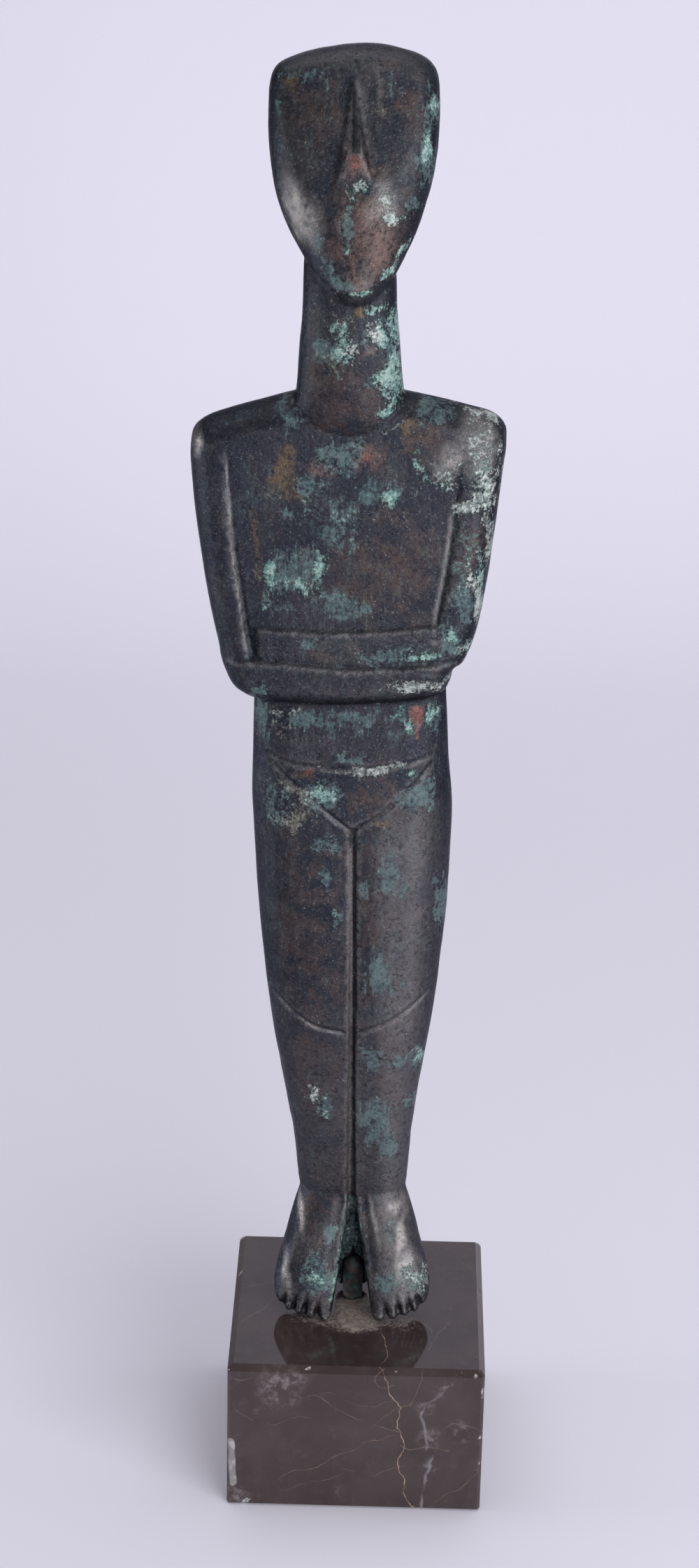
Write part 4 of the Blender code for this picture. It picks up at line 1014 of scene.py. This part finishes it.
def make_idol():
    figure = fused_figure()
    weather_figure(figure.data)
    stand = tilted((FIGURE_OFFSET_X, 0, MARBLE_TOP), FIGURE_LEAN_DEG, "Y")
    figure.data.transform(stand @ Matrix.Scale(UNIT, 4))
    cut(figure, turned_bar("bore", PIN_RADIUS + PIN_GAP, MARBLE_TOP - CUT_SPARE,
                           PIN_HIGH[2] + PIN_GAP, domed=True))
    darken_bore(figure.data, PIN_RADIUS + 2 * PIN_GAP)
    figure.name = figure.data.name = "idol_casting"
    figure.data.shade_smooth()
    figure.data.materials.clear()
    figure.data.materials.append(bronze_material())
    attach(figure, "root")
    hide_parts("bronze_idol")


# Materials

class Nodes:
    """A material's node tree, with short calls for the nodes that these materials are made of."""

    def __init__(self, name):
        self.material = bpy.data.materials.new(name)
        self.material.use_nodes = True
        self.tree = self.material.node_tree
        self.place = self.add("ShaderNodeTexCoord").outputs["Object"]
        self.plus, self.minus, self.times, self.most = (
            partial(self.math, kind) for kind in ("ADD", "SUBTRACT", "MULTIPLY", "MAXIMUM"))

    def add(self, kind, inputs=None, **settings):
        """A new node with its settings, and its inputs by name or number."""
        node = self.tree.nodes.new(kind)
        for name, value in settings.items():
            setattr(node, name, value)
        for key, value in (inputs or {}).items():
            self.put(value, node.inputs[key])
        return node

    def put(self, value, socket):
        if isinstance(value, bpy.types.NodeSocket):
            self.tree.links.new(value, socket)
        else:
            socket.default_value = (*value, 1.0) if socket.type == "RGBA" else value

    def field(self, name):
        return self.add("ShaderNodeAttribute", attribute_name=name).outputs["Fac"]

    def math(self, operation, a, b=0.0):
        return self.add("ShaderNodeMath", {0: a, 1: b}, operation=operation).outputs[0]

    def noise(self, size, detail, roughness, stretch=(1, 1, 1), shift=0.0, distortion=0.0):
        """Noise from 0 to 1 with features of about the given size in metres."""
        moved = self.add("ShaderNodeMapping", {
            "Vector": self.place, "Location": (shift,) * 3, "Scale": stretch})
        return self.add("ShaderNodeTexNoise", {
            "Vector": moved.outputs[0], "Scale": 1.0 / size, "Detail": detail, "Roughness": roughness,
            "Distortion": distortion}).outputs[0]

    def span(self, value, low, high, to_low=0.0, to_high=1.0):
        """Maps low..high of a value to the new range, with soft ends."""
        inputs = dict(enumerate((value, low, high, to_low, to_high)))
        return self.add("ShaderNodeMapRange", inputs, interpolation_type="SMOOTHSTEP").outputs[0]

    def mix(self, share, first, second):
        """A blend of two colours, or of two numbers."""
        colours = any(isinstance(v, tuple) or getattr(v, "type", "") == "RGBA" for v in (first, second))
        start = 6 if colours else 2
        node = self.add("ShaderNodeMix", {0: share, start: first, start + 1: second},
                        data_type="RGBA" if colours else "FLOAT")
        return node.outputs[2 if colours else 0]

    def tones(self, pattern, low, high, dark, light):
        return self.mix(self.span(pattern, low, high), dark, light)

    def lay(self, below, *layers):
        """Lays colours over what is below. A layer is (where it lies, how thick, its colour)."""
        for share, amount, colour in layers:
            below = self.mix(self.times(share, amount), below, colour)
        return below

    def bumps(self, *layers):
        """The normal after each layer of (height, distance, strength), one over the other."""
        normal = {}
        for height, distance, strength in layers:
            inputs = {"Height": height, "Distance": distance, "Strength": strength, **normal}
            normal = {"Normal": self.add("ShaderNodeBump", inputs).outputs["Normal"]}
        return normal["Normal"]

    def finish(self, **inputs):
        for name, value in inputs.items():
            self.put(value, self.tree.nodes["Principled BSDF"].inputs[name.replace("_", " ").title()])
        return self.material


# How far apart the finest holes in the bronze are, in metres
HOLE_SIZE = 0.0012


def bronze_material():
    """Dark bronze: brown toning under teal stains, pale crusts and a few warm patches, with bluish-black
    painted shade, painted sheen and painted highlights.
    """
    nodes = Nodes("patinated_bronze")
    noise, span, mix, field = nodes.noise, nodes.span, nodes.mix, nodes.field
    tones, times, most = nodes.tones, nodes.times, nodes.most
    wide = noise(0.013, 4.0, 0.6, shift=0.3)
    cloud = noise(0.0050, 7.0, 0.68, distortion=0.2)
    fleck = noise(0.0016, 6.0, 0.72, shift=2.3)
    speck = noise(0.0009, 5.0, 0.76, shift=4.1)
    grain = noise(0.00050, 4.0, 0.7)
    streaks = noise(0.0008, 5.0, 0.72, stretch=(1.0, 1.0, 0.16))
    ragged = mix(span(field("streaked"), 0.0, 1.0, 0.30, 0.75), speck, streaks)
    broken = mix(0.62, cloud, ragged)
    fine = mix(0.55, mix(0.5, cloud, fleck), speck)
    finest = mix(0.35, mix(0.45, cloud, ragged), grain)

    def spread(name, reach, low, high, pattern):
        """Full where the field is strong, and only in the pattern's peaks near its rim."""
        return span(nodes.plus(times(field(name), reach), pattern), low, high)

    # Polished metal, and painted highlight along the lips and lit lines: a lighter, glossier colour
    polished = times(field("polished"), span(fleck, 0.30, 0.55, 0.35, 1.0))
    metal = nodes.lay(
        tones(wide, 0.36, 0.66, (0.023, 0.027, 0.038), (0.036, 0.033, 0.040)),
        (span(cloud, 0.44, 0.62), 0.8, (0.048, 0.046, 0.053)),
        (spread("brown", 0.20, 0.52, 0.76, cloud), 0.68, (0.076, 0.052, 0.045)),
        # Painted shade: blue-black on the left, on sideways faces, on the crown, between the feet and in the
        # bore
        (spread("blue", 0.18, 0.54, 0.76, cloud), 0.75, (0.014, 0.020, 0.038)),
        # Painted sheen
        (field("rubbed"), 0.50, (0.158, 0.150, 0.156)),
        (span(fleck, 0.33, 0.46, 1.0, 0.0), 0.55, (0.012, 0.015, 0.022)),
        (spread("red", 0.24, 0.56, 0.78, broken), 0.78, (0.135, 0.090, 0.084)),
        (spread("ochre", 0.24, 0.60, 0.78, broken), 0.75, (0.130, 0.088, 0.048)),
        (span(speck, 0.38, 0.48, 1.0, 0.0), 0.60, (0.010, 0.011, 0.015)),
        (span(grain, 0.56, 0.66), 0.50, (0.150, 0.145, 0.152)),
        # Lighter worn edges, with painted highlights on lips, lit lines and nose flanks
        (times(field("worn"), span(fleck, 0.38, 0.60)), 0.6, (0.150, 0.142, 0.142)),
        # Painted shade in creases and recesses, also darkening the nose ridge
        (field("hollow"), 0.60, (0.012, 0.013, 0.016)),
        # Painted light on the cleft's left wall
        (field("wall"), 0.75, (0.165, 0.148, 0.142)),
        # Polished metal and painted highlights
        (polished, 0.70, (0.330, 0.315, 0.310)))

    traces = times(span(mix(0.6, wide, streaks), 0.50, 0.62), 0.30)
    stain = most(spread("teal", 0.19, 0.60, 0.68, broken), traces)
    cream = spread("cream", 0.125, 0.60, 0.66, finest)
    specks = times(span(mix(0.45, mix(0.5, speck, streaks), grain), 0.56, 0.63), 0.8)
    mint = most(spread("mint", 0.19, 0.62, 0.68, finest), times(specks, span(stain, 0.1, 0.7, 0.12, 1.0)))
    pale = spread("pale", 0.17, 0.60, 0.655, finest)
    rust = spread("rust", 0.24, 0.60, 0.68, finest)
    dust = span(noise(0.00042, 2.0, 0.5, shift=5.0), 0.69, 0.75)
    colour = nodes.lay(
        metal,
        (stain, 0.68, tones(fine, 0.40, 0.60, (0.036, 0.062, 0.070), (0.125, 0.200, 0.205))),
        (cream, 0.52, tones(speck, 0.42, 0.60, (0.110, 0.110, 0.088), (0.300, 0.300, 0.245))),
        (mint, 0.82, tones(fine, 0.46, 0.62, (0.105, 0.215, 0.200), (0.430, 0.590, 0.530))),
        (pale, 0.78, tones(fine, 0.46, 0.62, (0.150, 0.178, 0.176), (0.600, 0.640, 0.610))),
        (rust, 0.80, tones(speck, 0.42, 0.60, (0.085, 0.040, 0.034), (0.185, 0.084, 0.070))),
        (dust, 0.65, (0.330, 0.330, 0.335)))

    crusted = most(mint, most(pale, cream))
    covered = most(crusted, times(stain, 0.45))
    roughness = nodes.plus(span(covered, 0.0, 1.0, 0.27, 0.46), span(fleck, 0.3, 0.7, -0.06, 0.10))
    roughness = most(nodes.minus(roughness, times(polished, 0.17)), 0.12)
    holes = nodes.add("ShaderNodeTexVoronoi", {"Vector": nodes.place, "Scale": 1.0 / HOLE_SIZE})
    pitted = mix(span(mix(0.5, wide, cloud), 0.46, 0.60), 1.0, span(holes.outputs["Distance"], 0.05, 0.30))
    normal = nodes.bumps((grain, 0.00009, 0.7), (speck, 0.00026, 0.7), (fleck, 0.00024, 0.45),
                         (pitted, 0.00012, 0.45), (crusted, 0.00009, 0.8))
    return nodes.finish(base_color=colour, roughness=roughness, metallic=span(covered, 0.0, 0.8, 0.80, 0.12),
                        normal=normal, specular_tint=(0.35, 0.35, 0.40))


# Marble block: places in millimetres from the middle of its underside

MARBLE_STEP = 0.8
TOP_CHAMFER = 1.4
SIDE_CHAMFER = 0.8
FOOT_CHAMFER = 0.6
CHIP_DEPTH = 0.5
HALF_SIDE = 30
TOP = 38.4
# Points of a vein past these lie on the top, or on the left or right side
ON_TOP = 38
ON_SIDE = 28.9
BLOCK_SHARP_DEG = 28
PIN_SHARP_DEG = 50


def in_front_face(*points):
    """A vein on the front face, from its (x, height) points."""
    return [(x, -HALF_SIDE, z) for x, z in points]


VEINS = {
    "tan": [
        [(5.6, -13.4, TOP), (6.8, -20.6, TOP), (5.4, -28.4, TOP)] + in_front_face(
            (6.5, 37), (7.4, 35.1), (8.7, 30.9), (10.7, 28.3), (10.5, 25.7), (9.9, 22.5), (11.8, 17.8),
            (10.2, 14.2), (10.7, 10.5), (12, 7.7), (11.8, 4.2), (14.8, 0.4), (15.2, 0)),
        [(30, -12, 30), (30, -2, 24), (30, 8, 26), (30, 16, 12), (30, 20, 0)],
        [(-30, 14, 38), (-30, 8, 26), (-30, 12, 14), (-30, 4, 0)],
        [(-6, 30, 38), (-12, 30, 27), (-7, 30, 18), (-14, 30, 0)]],
    "faint": [
        [(6.1, -29.6, 37.8), (4.6, -30, 36.8), (4.4, -30, 35.1), (5.7, -30, 33.6), (7.8, -30, 34.0)],
        in_front_face((10.7, 28.3), (13.1, 28.8), (14.0, 32.0), (14.8, 35.1), (15.3, 37.8)),
        in_front_face((11.6, 17.4), (15.3, 17.3), (21.4, 16.8)),
        in_front_face((8.3, 20.5), (2.2, 18.9), (-4.8, 14.2), (-8.7, 11.0), (-17, 8.2)),
        in_front_face((-10.4, 30.9), (-6.6, 29.6), (-0.9, 25.7), (3.4, 24.0), (9.6, 21.8)),
        in_front_face((-29.3, 35.1), (-26.6, 34.6), (-24.5, 35.3), (-21.8, 36.2)),
        [(-20.0, 0.8, TOP), (-24, -6, TOP), (-26.9, -9.9, TOP)],
        [(9.5, -9.5, TOP), (13.5, -7.8, TOP), (17.5, -12.5, TOP)],
        [(17.0, -20.1, TOP), (20.8, -10.8, TOP), (21.3, -9.0, TOP), (29.7, -6.7, 38.0)],
        in_front_face((29.3, 11.0), (27.1, 8.9), (24.9, 5.8), (21.4, 4.2), (18.3, 1.1)),
        [(30, -28, 14), (30, -14, 20), (30, 2, 14), (30, 12, 30), (30, 28, 34)],
        [(-30, -26, 8), (-30, -10, 16), (-30, 2, 34), (-29, 4, TOP), (-12, 12, TOP), (-4, 26, TOP)]],
    "white": [
        in_front_face((21.8, 34.6), (18.8, 30.9), (16.2, 28.8), (15.3, 25.7), (16.6, 21.5), (17.0, 17.8)),
        in_front_face((18.8, 15.7), (17.5, 11.0), (16.6, 5.8), (16.2, 1.1)),
        [(26, 30, 4), (12, 30, 12), (4, 30, 30), (2, 29, TOP)]],
    "fine": [
        in_front_face((-6.2, 31.8), (1.2, 28.4), (7.6, 29.8)),
        in_front_face((-2.2, 11.0), (3.6, 8.7), (11.3, 12.2)),
        in_front_face((-16.6, 4.3), (-10.3, 7.1), (-3.1, 9.3)),
        in_front_face((4.2, 22.9), (8.0, 26.6), (9.6, 28.6)),
        in_front_face((-27.4, 26.0), (-19.0, 22.4), (-11.0, 24.8)),
        in_front_face((17.6, 20.8), (22.6, 24.4), (28.6, 23.0))]}
VEIN_SEED = 60
VEIN_REACH = 1.3
# Each chip and each cloud: its middle and its reach
CHIPS = [(-10.9, -29.3, 38.1, 0.75), (-11.8, -29.5, 37.9, 0.65), (9, -29.5, 38, 0.8),
    (27.9, -29.7, 37.4, 0.8), (24.4, -29.4, 38.1, 0.7), (-25.1, -30, 1.5, 0.95), (-25.8, -30, 0.4, 1.15),
    (29.7, -29.7, 33.3, 0.9), (29.8, -29.7, 31.8, 0.8), (29.6, -29.8, 20.5, 0.8), (29.6, -29.8, 13, 0.7),
    (-29.5, 12.5, 38.1, 0.8), (29.6, 6.4, 38.2, 0.9), (8.6, 29.6, 38.2, 1.1), (29.6, 29.6, 3, 1.4),
    (-29.6, 24, 0.4, 1.3)]
CLOUDS = [(-17.5, -30, 33, 5.8), (-14.4, -30, 34.6, 3.2), (19.8, -30, 33.4, 2.6), (16.4, -30, 28.4, 2.2),
    (17.6, -30, 20, 3), (17.6, -30, 12, 2.2), (-27.5, -30, 2.5, 3.6), (24.5, -30, 22, 3.2),
    (30, 10, 26, 5.6), (-30, -6, 18, 5.6), (12, 30, 15, 5.6)]
# A long scuff down the left front edge
SCUFF_ENDS = np.array([(-29.1, -30.0, 17.8), (-28.5, -30.0, 6.2)])
SCUFF_REACH = 1.35


def grid_lines(low, high, edges):
    """Places about one step apart from low to high that fall on the edges of the chamfers."""
    stops = [low] + sorted(edges) + [high]
    lines = [low]
    for a, b in zip(stops, stops[1:]):
        pieces = max(1, round((b - a) / MARBLE_STEP))
        lines += [a + (b - a) * (k + 1) / pieces for k in range(pieces)]
    return np.array(lines)


def block_mesh(name, half_x, half_y, height):
    """A block in millimetres, its faces in a fine grid whose lines fall on the edges of the chamfers."""
    lines = (grid_lines(-half_x, half_x, (-half_x + TOP_CHAMFER, half_x - TOP_CHAMFER)),
             grid_lines(-half_y, half_y, (-half_y + TOP_CHAMFER, half_y - TOP_CHAMFER)),
             grid_lines(0.0, height, (FOOT_CHAMFER, height - TOP_CHAMFER)))
    index, faces = {}, []
    for out, across, along in ((2, 0, 1), (1, 2, 0), (0, 1, 2)):
        for end in (0, -1):
            for a0, a1 in zip(lines[across], lines[across][1:]):
                for b0, b1 in zip(lines[along], lines[along][1:]):
                    face = []
                    for a, b in ((a0, b0), (a1, b0), (a1, b1), (a0, b1)):
                        corner = [lines[out][end]] * 3
                        corner[across], corner[along] = a, b
                        face.append(index.setdefault(tuple(corner), len(index)))
                    faces.append(face if end else face[:1] + face[:0:-1])
    return new_mesh(name, list(index), faces)


def chamfer(places, half_x, half_y, height):
    """Pulls every point outside the chamfer planes back onto them."""
    shape = places.copy()
    side = np.abs(shape[:, :2])
    sign = np.where(shape[:, :2] < 0, -1.0, 1.0)
    over = np.clip((side[:, 0] + side[:, 1] - (half_x + half_y - SIDE_CHAMFER)) / 2, 0, None)
    side = side - over[:, None]
    for axis, half in ((0, half_x), (1, half_y)):
        for level, cut_size, up in ((height, TOP_CHAMFER, 1), (0.0, FOOT_CHAMFER, -1)):
            past = np.clip((side[:, axis] - half + up * (shape[:, 2] - level) + cut_size) / 2, 0, None)
            side[:, axis] -= past
            shape[:, 2] -= up * past
    shape[:, :2] = sign * side
    return shape


def face_of(a, b):
    """The direction out of the block's face that a stretch of a vein lies on."""
    if min(a[2], b[2]) > ON_TOP:
        return np.array([0, 0, 1.0])
    if abs(a[0]) > ON_SIDE and abs(b[0]) > ON_SIDE:
        return np.array([np.sign(a[0]), 0, 0])
    return np.array([0, np.sign(a[1] + b[1]), 0])


def wandering(vein, random):
    """The vein with small bends between its points."""
    path = [np.array(p, float) for p in vein]
    for share in (0.13, 0.11, 0.09):
        finer = [path[0]]
        for a, b in zip(path, path[1:]):
            sideways = np.cross(b - a, face_of(a, b))
            finer += [(a + b) / 2 + share * random.uniform(-1, 1) * sideways, b]
        path = finer
    return path


def vein_fields(places, veins, seed):
    """How far each place is to one side of the nearest vein, and how near that vein is."""
    random = np.random.default_rng(seed)
    best = np.full(len(places), np.inf)
    side = np.full(len(places), 9.0)
    for vein in veins:
        path = wandering(vein, random)
        for a, b in zip(path, path[1:]):
            run = b - a
            near = np.flatnonzero(np.all(np.abs(places - (a + b) / 2) < 3 + np.abs(run), axis=1))
            offset = places[near] - a
            t = np.clip(offset @ run / (run @ run), 0, 1)
            away = offset - t[:, None] * run
            distance = np.linalg.norm(away, axis=1)
            across = np.cross(run, face_of(a, b))
            nearer = distance < best[near]
            best[near[nearer]] = distance[nearer]
            side[near[nearer]] = (away @ across / np.linalg.norm(across))[nearer]
    return np.clip(side, -3, 3), np.clip(1 - best / VEIN_REACH, 0, 1)


def fade_past(distance, reach):
    """1 in the middle of a mark, falling evenly past its reach."""
    return np.clip(1.15 - distance / reach, 0, 1)


def spot_field(places, spots):
    """How strong the strongest of the spots is at each place."""
    return np.maximum.reduce([fade_past(np.linalg.norm(places - spot[:3], axis=1), spot[3])
                              for spot in spots])


def residue_field(places, height):
    """The dusty print on top: round the pin, between the feet and in a smear under the toes."""
    x, wander = places[:, 0], 1.2 * soft_noise(places, 5.0, 33) + 0.6 * soft_noise(places, 2.0, 34)
    ahead = -(places[:, 1] + wander)
    on_top = soft_step(places[:, 2], height - 1, height - 0.2)
    gap = (1 - soft_step(np.abs(x), 3.0, 8.0)) * band(ahead, -4, 0, 11.0, 16.0)
    smear = (1 - soft_step(np.abs(x + 0.8), 8, 23)) * band(ahead, 5.0, 8.0, 9.0, 15.5)
    return on_top * np.maximum(gap, 0.66 * smear)


def make_marble():
    half_x, half_y = (0.5 * (BASE_HIGH[axis] - BASE_LOW[axis]) / MILLIMETRE for axis in (0, 1))
    height = MARBLE_TOP / MILLIMETRE
    mesh = block_mesh("marble_block", half_x, half_y, height)
    set_places(mesh, chamfer(vertex_places(mesh), half_x, half_y, height))
    places, normals = vertex_places(mesh), vertex_normals(mesh)
    for number, (name, veins) in enumerate(VEINS.items()):
        side, near = vein_fields(places, veins, VEIN_SEED + number)
        set_field(mesh, name + "_side", side)
        set_field(mesh, name + "_near", near)
    chipped = spot_field(places, CHIPS)
    set_field(mesh, "chipped", chipped)
    set_field(mesh, "scuffed", fade_past(nearest_on_path(places, SCUFF_ENDS)[0], SCUFF_REACH))
    set_field(mesh, "clouded", spot_field(places, CLOUDS))
    set_field(mesh, "residue", residue_field(places, height))
    sunk = CHIP_DEPTH * chipped * (0.6 + 0.4 * soft_noise(places, 0.8, 31))
    set_places(mesh, places - normals * sunk[:, None])
    mesh.transform(Matrix.Scale(MILLIMETRE, 4))
    block = add_object("marble_block", mesh)
    cut(block, turned_bar("hole", PIN_RADIUS + PIN_GAP, PIN_LOW[2] - PIN_GAP,
                          MARBLE_TOP + CUT_SPARE, domed=False))
    block.data.shade_smooth()
    block.data.set_sharp_from_angle(angle=math.radians(BLOCK_SHARP_DEG))
    block.data.materials.clear()
    block.data.materials.append(marble_material())
    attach(block, "root")
    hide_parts("marble_base")


def marble_material():
    """Polished dark brown marble with faint clouds, a tan crack, pale veins and a dusty print."""
    nodes = Nodes("dark_brown_marble")
    noise, span, field = nodes.noise, nodes.span, nodes.field
    tones, times, most = nodes.tones, nodes.times, nodes.most
    clouds = noise(0.014, 4.0, 0.55, distortion=0.4)
    mottle = noise(0.0030, 5.0, 0.65, shift=0.7)
    grain = noise(0.0007, 4.0, 0.65)
    streaks = noise(0.0030, 4.0, 0.6, shift=8.0)
    speckle = nodes.mix(0.5, noise(0.0022, 5.0, 0.7), grain)

    def vein(name, half_width, wander, fade_low, fade_high, shift):
        """A line where the signed distance, shaken by noise, passes zero. It fades along its length."""
        shake = times(nodes.minus(noise(0.0024, 4.0, 0.6, shift=shift), 0.5), wander)
        off = nodes.math("ABSOLUTE", nodes.plus(field(name + "_side"), shake))
        line = span(off, 0.4 * half_width, 1.4 * half_width, 1.0, 0.0)
        line = times(line, span(field(name + "_near"), 0.10, 0.40))
        return times(line, span(noise(0.0050, 3.0, 0.6, shift=shift + 3), fade_low, fade_high))

    web = nodes.math("ABSOLUTE", nodes.minus(noise(0.017, 3.0, 0.5, shift=4.0, distortion=1.2), 0.5))
    web = times(span(web, 0.0, 0.008, 1.0, 0.0), span(mottle, 0.48, 0.66))
    cloud = times(field("clouded"), span(noise(0.0024, 6.0, 0.7, shift=6.0), 0.44, 0.66))
    white = vein("white", 0.34, 1.2, 0.34, 0.60, 2.0)
    tan = vein("tan", 0.11, 0.9, 0.26, 0.56, 5.0)
    chips = span(nodes.plus(field("chipped"), times(grain, 0.5)), 0.62, 0.88)
    scuffs = span(nodes.plus(field("scuffed"), times(streaks, 0.4)), 0.56, 0.86)
    dust = span(nodes.plus(times(field("residue"), 0.55), speckle), 0.62, 1.02)
    stone = nodes.lay(
        tones(clouds, 0.36, 0.66, (0.0370, 0.0245, 0.0245), (0.0500, 0.0350, 0.0348)),
        (span(mottle, 0.50, 0.75), 0.6, (0.058, 0.045, 0.045)),
        (span(grain, 0.62, 0.75), 0.16, (0.17, 0.14, 0.14)),
        (web, 0.22, (0.17, 0.13, 0.12)),
        (cloud, 0.75, (0.25, 0.222, 0.225)),
        (vein("fine", 0.08, 0.9, 0.34, 0.66, 7.0), 0.45, (0.20, 0.150, 0.125)),
        (vein("faint", 0.10, 0.9, 0.30, 0.62, 1.0), 0.50, (0.23, 0.155, 0.115)),
        (white, 0.42, (0.28, 0.28, 0.31)),
        (tan, 0.85, tones(mottle, 0.4, 0.6, (0.22, 0.145, 0.105), (0.47, 0.34, 0.235))),
        (chips, 1.0, tones(grain, 0.4, 0.6, (0.14, 0.13, 0.135), (0.40, 0.385, 0.395))),
        (scuffs, 0.9, tones(streaks, 0.4, 0.6, (0.22, 0.21, 0.215), (0.40, 0.385, 0.395))),
        (dust, 0.85, tones(speckle, 0.42, 0.6, (0.150, 0.124, 0.115), (0.330, 0.280, 0.240))))
    roughness = most(span(mottle, 0.3, 0.7, 0.045, 0.085), times(most(dust, most(chips, scuffs)), 0.7))
    normal = nodes.bumps((most(tan, white), 0.00004, 0.3), (noise(0.006, 2.0, 0.5), 0.00002, 0.2))
    return nodes.finish(base_color=stone, roughness=roughness, metallic=0.0, normal=normal)


def make_pin():
    pin = turned_bar("steel_pin", PIN_RADIUS, PIN_LOW[2], PIN_HIGH[2], domed=True)
    pin.data.shade_smooth()
    pin.data.set_sharp_from_angle(angle=math.radians(PIN_SHARP_DEG))
    nodes = Nodes("darkened_steel")
    mottle = nodes.noise(0.0016, 5.0, 0.65)
    stain = nodes.span(nodes.noise(0.0024, 5.0, 0.65, shift=1.3), 0.46, 0.66)
    colour = nodes.lay(nodes.tones(mottle, 0.40, 0.66, (0.018, 0.019, 0.022), (0.064, 0.052, 0.046)),
                       (stain, 0.75, (0.030, 0.080, 0.078)))
    pin.data.materials.append(nodes.finish(
        base_color=colour, roughness=nodes.span(mottle, 0.3, 0.7, 0.5, 0.75), metallic=0.2,
        normal=nodes.bumps((mottle, 0.00025, 0.8))))
    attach(pin, "root")
    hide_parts("mounting_pin")


# Stage, lights and camera

def make_backdrop():
    """A pale floor that sweeps up behind the object, with a faint painted glow that brightens it where it
    rises.
    """
    front_edge, bend_start, bend_radius, height = -1.6, 0.50, 0.35, 0.75
    left, right = -0.32, 0.60
    turns = [math.radians(6 * k) for k in range(16)]
    section = [(front_edge, 0.0)]
    section += [(bend_start + bend_radius * math.sin(t), bend_radius * (1 - math.cos(t))) for t in turns]
    section.append((bend_start + bend_radius, height))
    vertices = [(x, y, z) for y, z in section for x in (left, right)]
    faces = [(2 * k, 2 * k + 1, 2 * k + 3, 2 * k + 2) for k in range(len(section) - 1)]
    backdrop = add_object("backdrop", new_mesh("backdrop", vertices, faces))
    backdrop.data.shade_smooth()
    nodes = Nodes("pale_backdrop")
    depth = nodes.add("ShaderNodeSeparateXYZ", {0: nodes.place}).outputs["Y"]
    # The backdrop's faint emission is a painted glow, growing towards the back
    backdrop.data.materials.append(nodes.finish(
        base_color=(0.745, 0.728, 0.830), roughness=0.9, emission_color=(0.95, 0.93, 1.0),
        emission_strength=nodes.span(depth, 0.30, 0.80, 0.0, 0.05)))


def add_softbox(name, place, target, width, height, power):
    light = bpy.data.lights.new(name, "AREA")
    light.shape = "RECTANGLE"
    light.size, light.size_y = width, height
    light.energy = power
    lamp = add_object(name, light)
    lamp.location = place
    lamp.rotation_euler = (Vector(target) - Vector(place)).to_track_quat("-Z", "Y").to_euler()


# How bright the room is on the object, and where the camera sees it
ROOM_LIGHT = 0.24
ROOM_SEEN = 0.72


def make_light():
    world = bpy.data.worlds.new("studio")
    world.use_nodes = True
    tree = world.node_tree
    sky = tree.nodes["Background"]
    sky.inputs["Color"].default_value = (0.94, 0.93, 1.0, 1)
    seen = tree.nodes.new("ShaderNodeLightPath").outputs["Is Camera Ray"]
    strength = tree.nodes.new("ShaderNodeMapRange")
    tree.links.new(seen, strength.inputs["Value"])
    strength.inputs["To Min"].default_value = ROOM_LIGHT
    strength.inputs["To Max"].default_value = ROOM_SEEN
    tree.links.new(strength.outputs["Result"], sky.inputs["Strength"])
    bpy.context.scene.world = world
    middle = (0, 0, 0.16)
    add_softbox("left_softbox", (-0.85, 0.0, 0.10), middle, 0.20, 0.15, 3.1)
    add_softbox("right_softbox", (0.50, -0.74, 0.32), middle, 0.80, 0.64, 8.6)
    add_softbox("side_fill", (0.80, 0.15, 0.48), middle, 0.45, 0.35, 0.7)
    add_softbox("top_softbox", (0, 0.30, 1.5), (0, 0.30, 0), 1.8, 1.4, 10.5)


# The photo's camera, fitted to the block's corners: heights and angles seen in a 1000 x 2242 frame
FOCAL_PIXELS = 4628
FRAME_PIXELS = 2242
SENSOR = 36.0
CAMERA_DOWN_DEG = 22.85
CAMERA_ROLL_DEG = -1.22
CAMERA_YAW_DEG = 0.64
CAMERA_PLACE = (-0.0048, -0.6696, 0.4554)


def make_camera():
    yaw = Matrix.Rotation(math.radians(CAMERA_YAW_DEG), 4, "Z")
    down = Matrix.Rotation(math.radians(90 - CAMERA_DOWN_DEG), 4, "X")
    roll = Matrix.Rotation(math.radians(-CAMERA_ROLL_DEG), 4, "Z")
    data = bpy.data.cameras.new("camera")
    data.sensor_width = SENSOR
    data.lens = SENSOR * FOCAL_PIXELS / FRAME_PIXELS
    data.clip_start = 0.01
    camera = add_object("camera", data)
    camera.matrix_world = yaw @ Matrix.Translation(CAMERA_PLACE) @ down @ roll
    bpy.context.scene.camera = camera


def main():
    bpy.context.scene.view_settings.view_transform = "Standard"
    make_camera()
    make_light()
    make_backdrop()
    make_marble()
    make_pin()
    make_idol()


main()
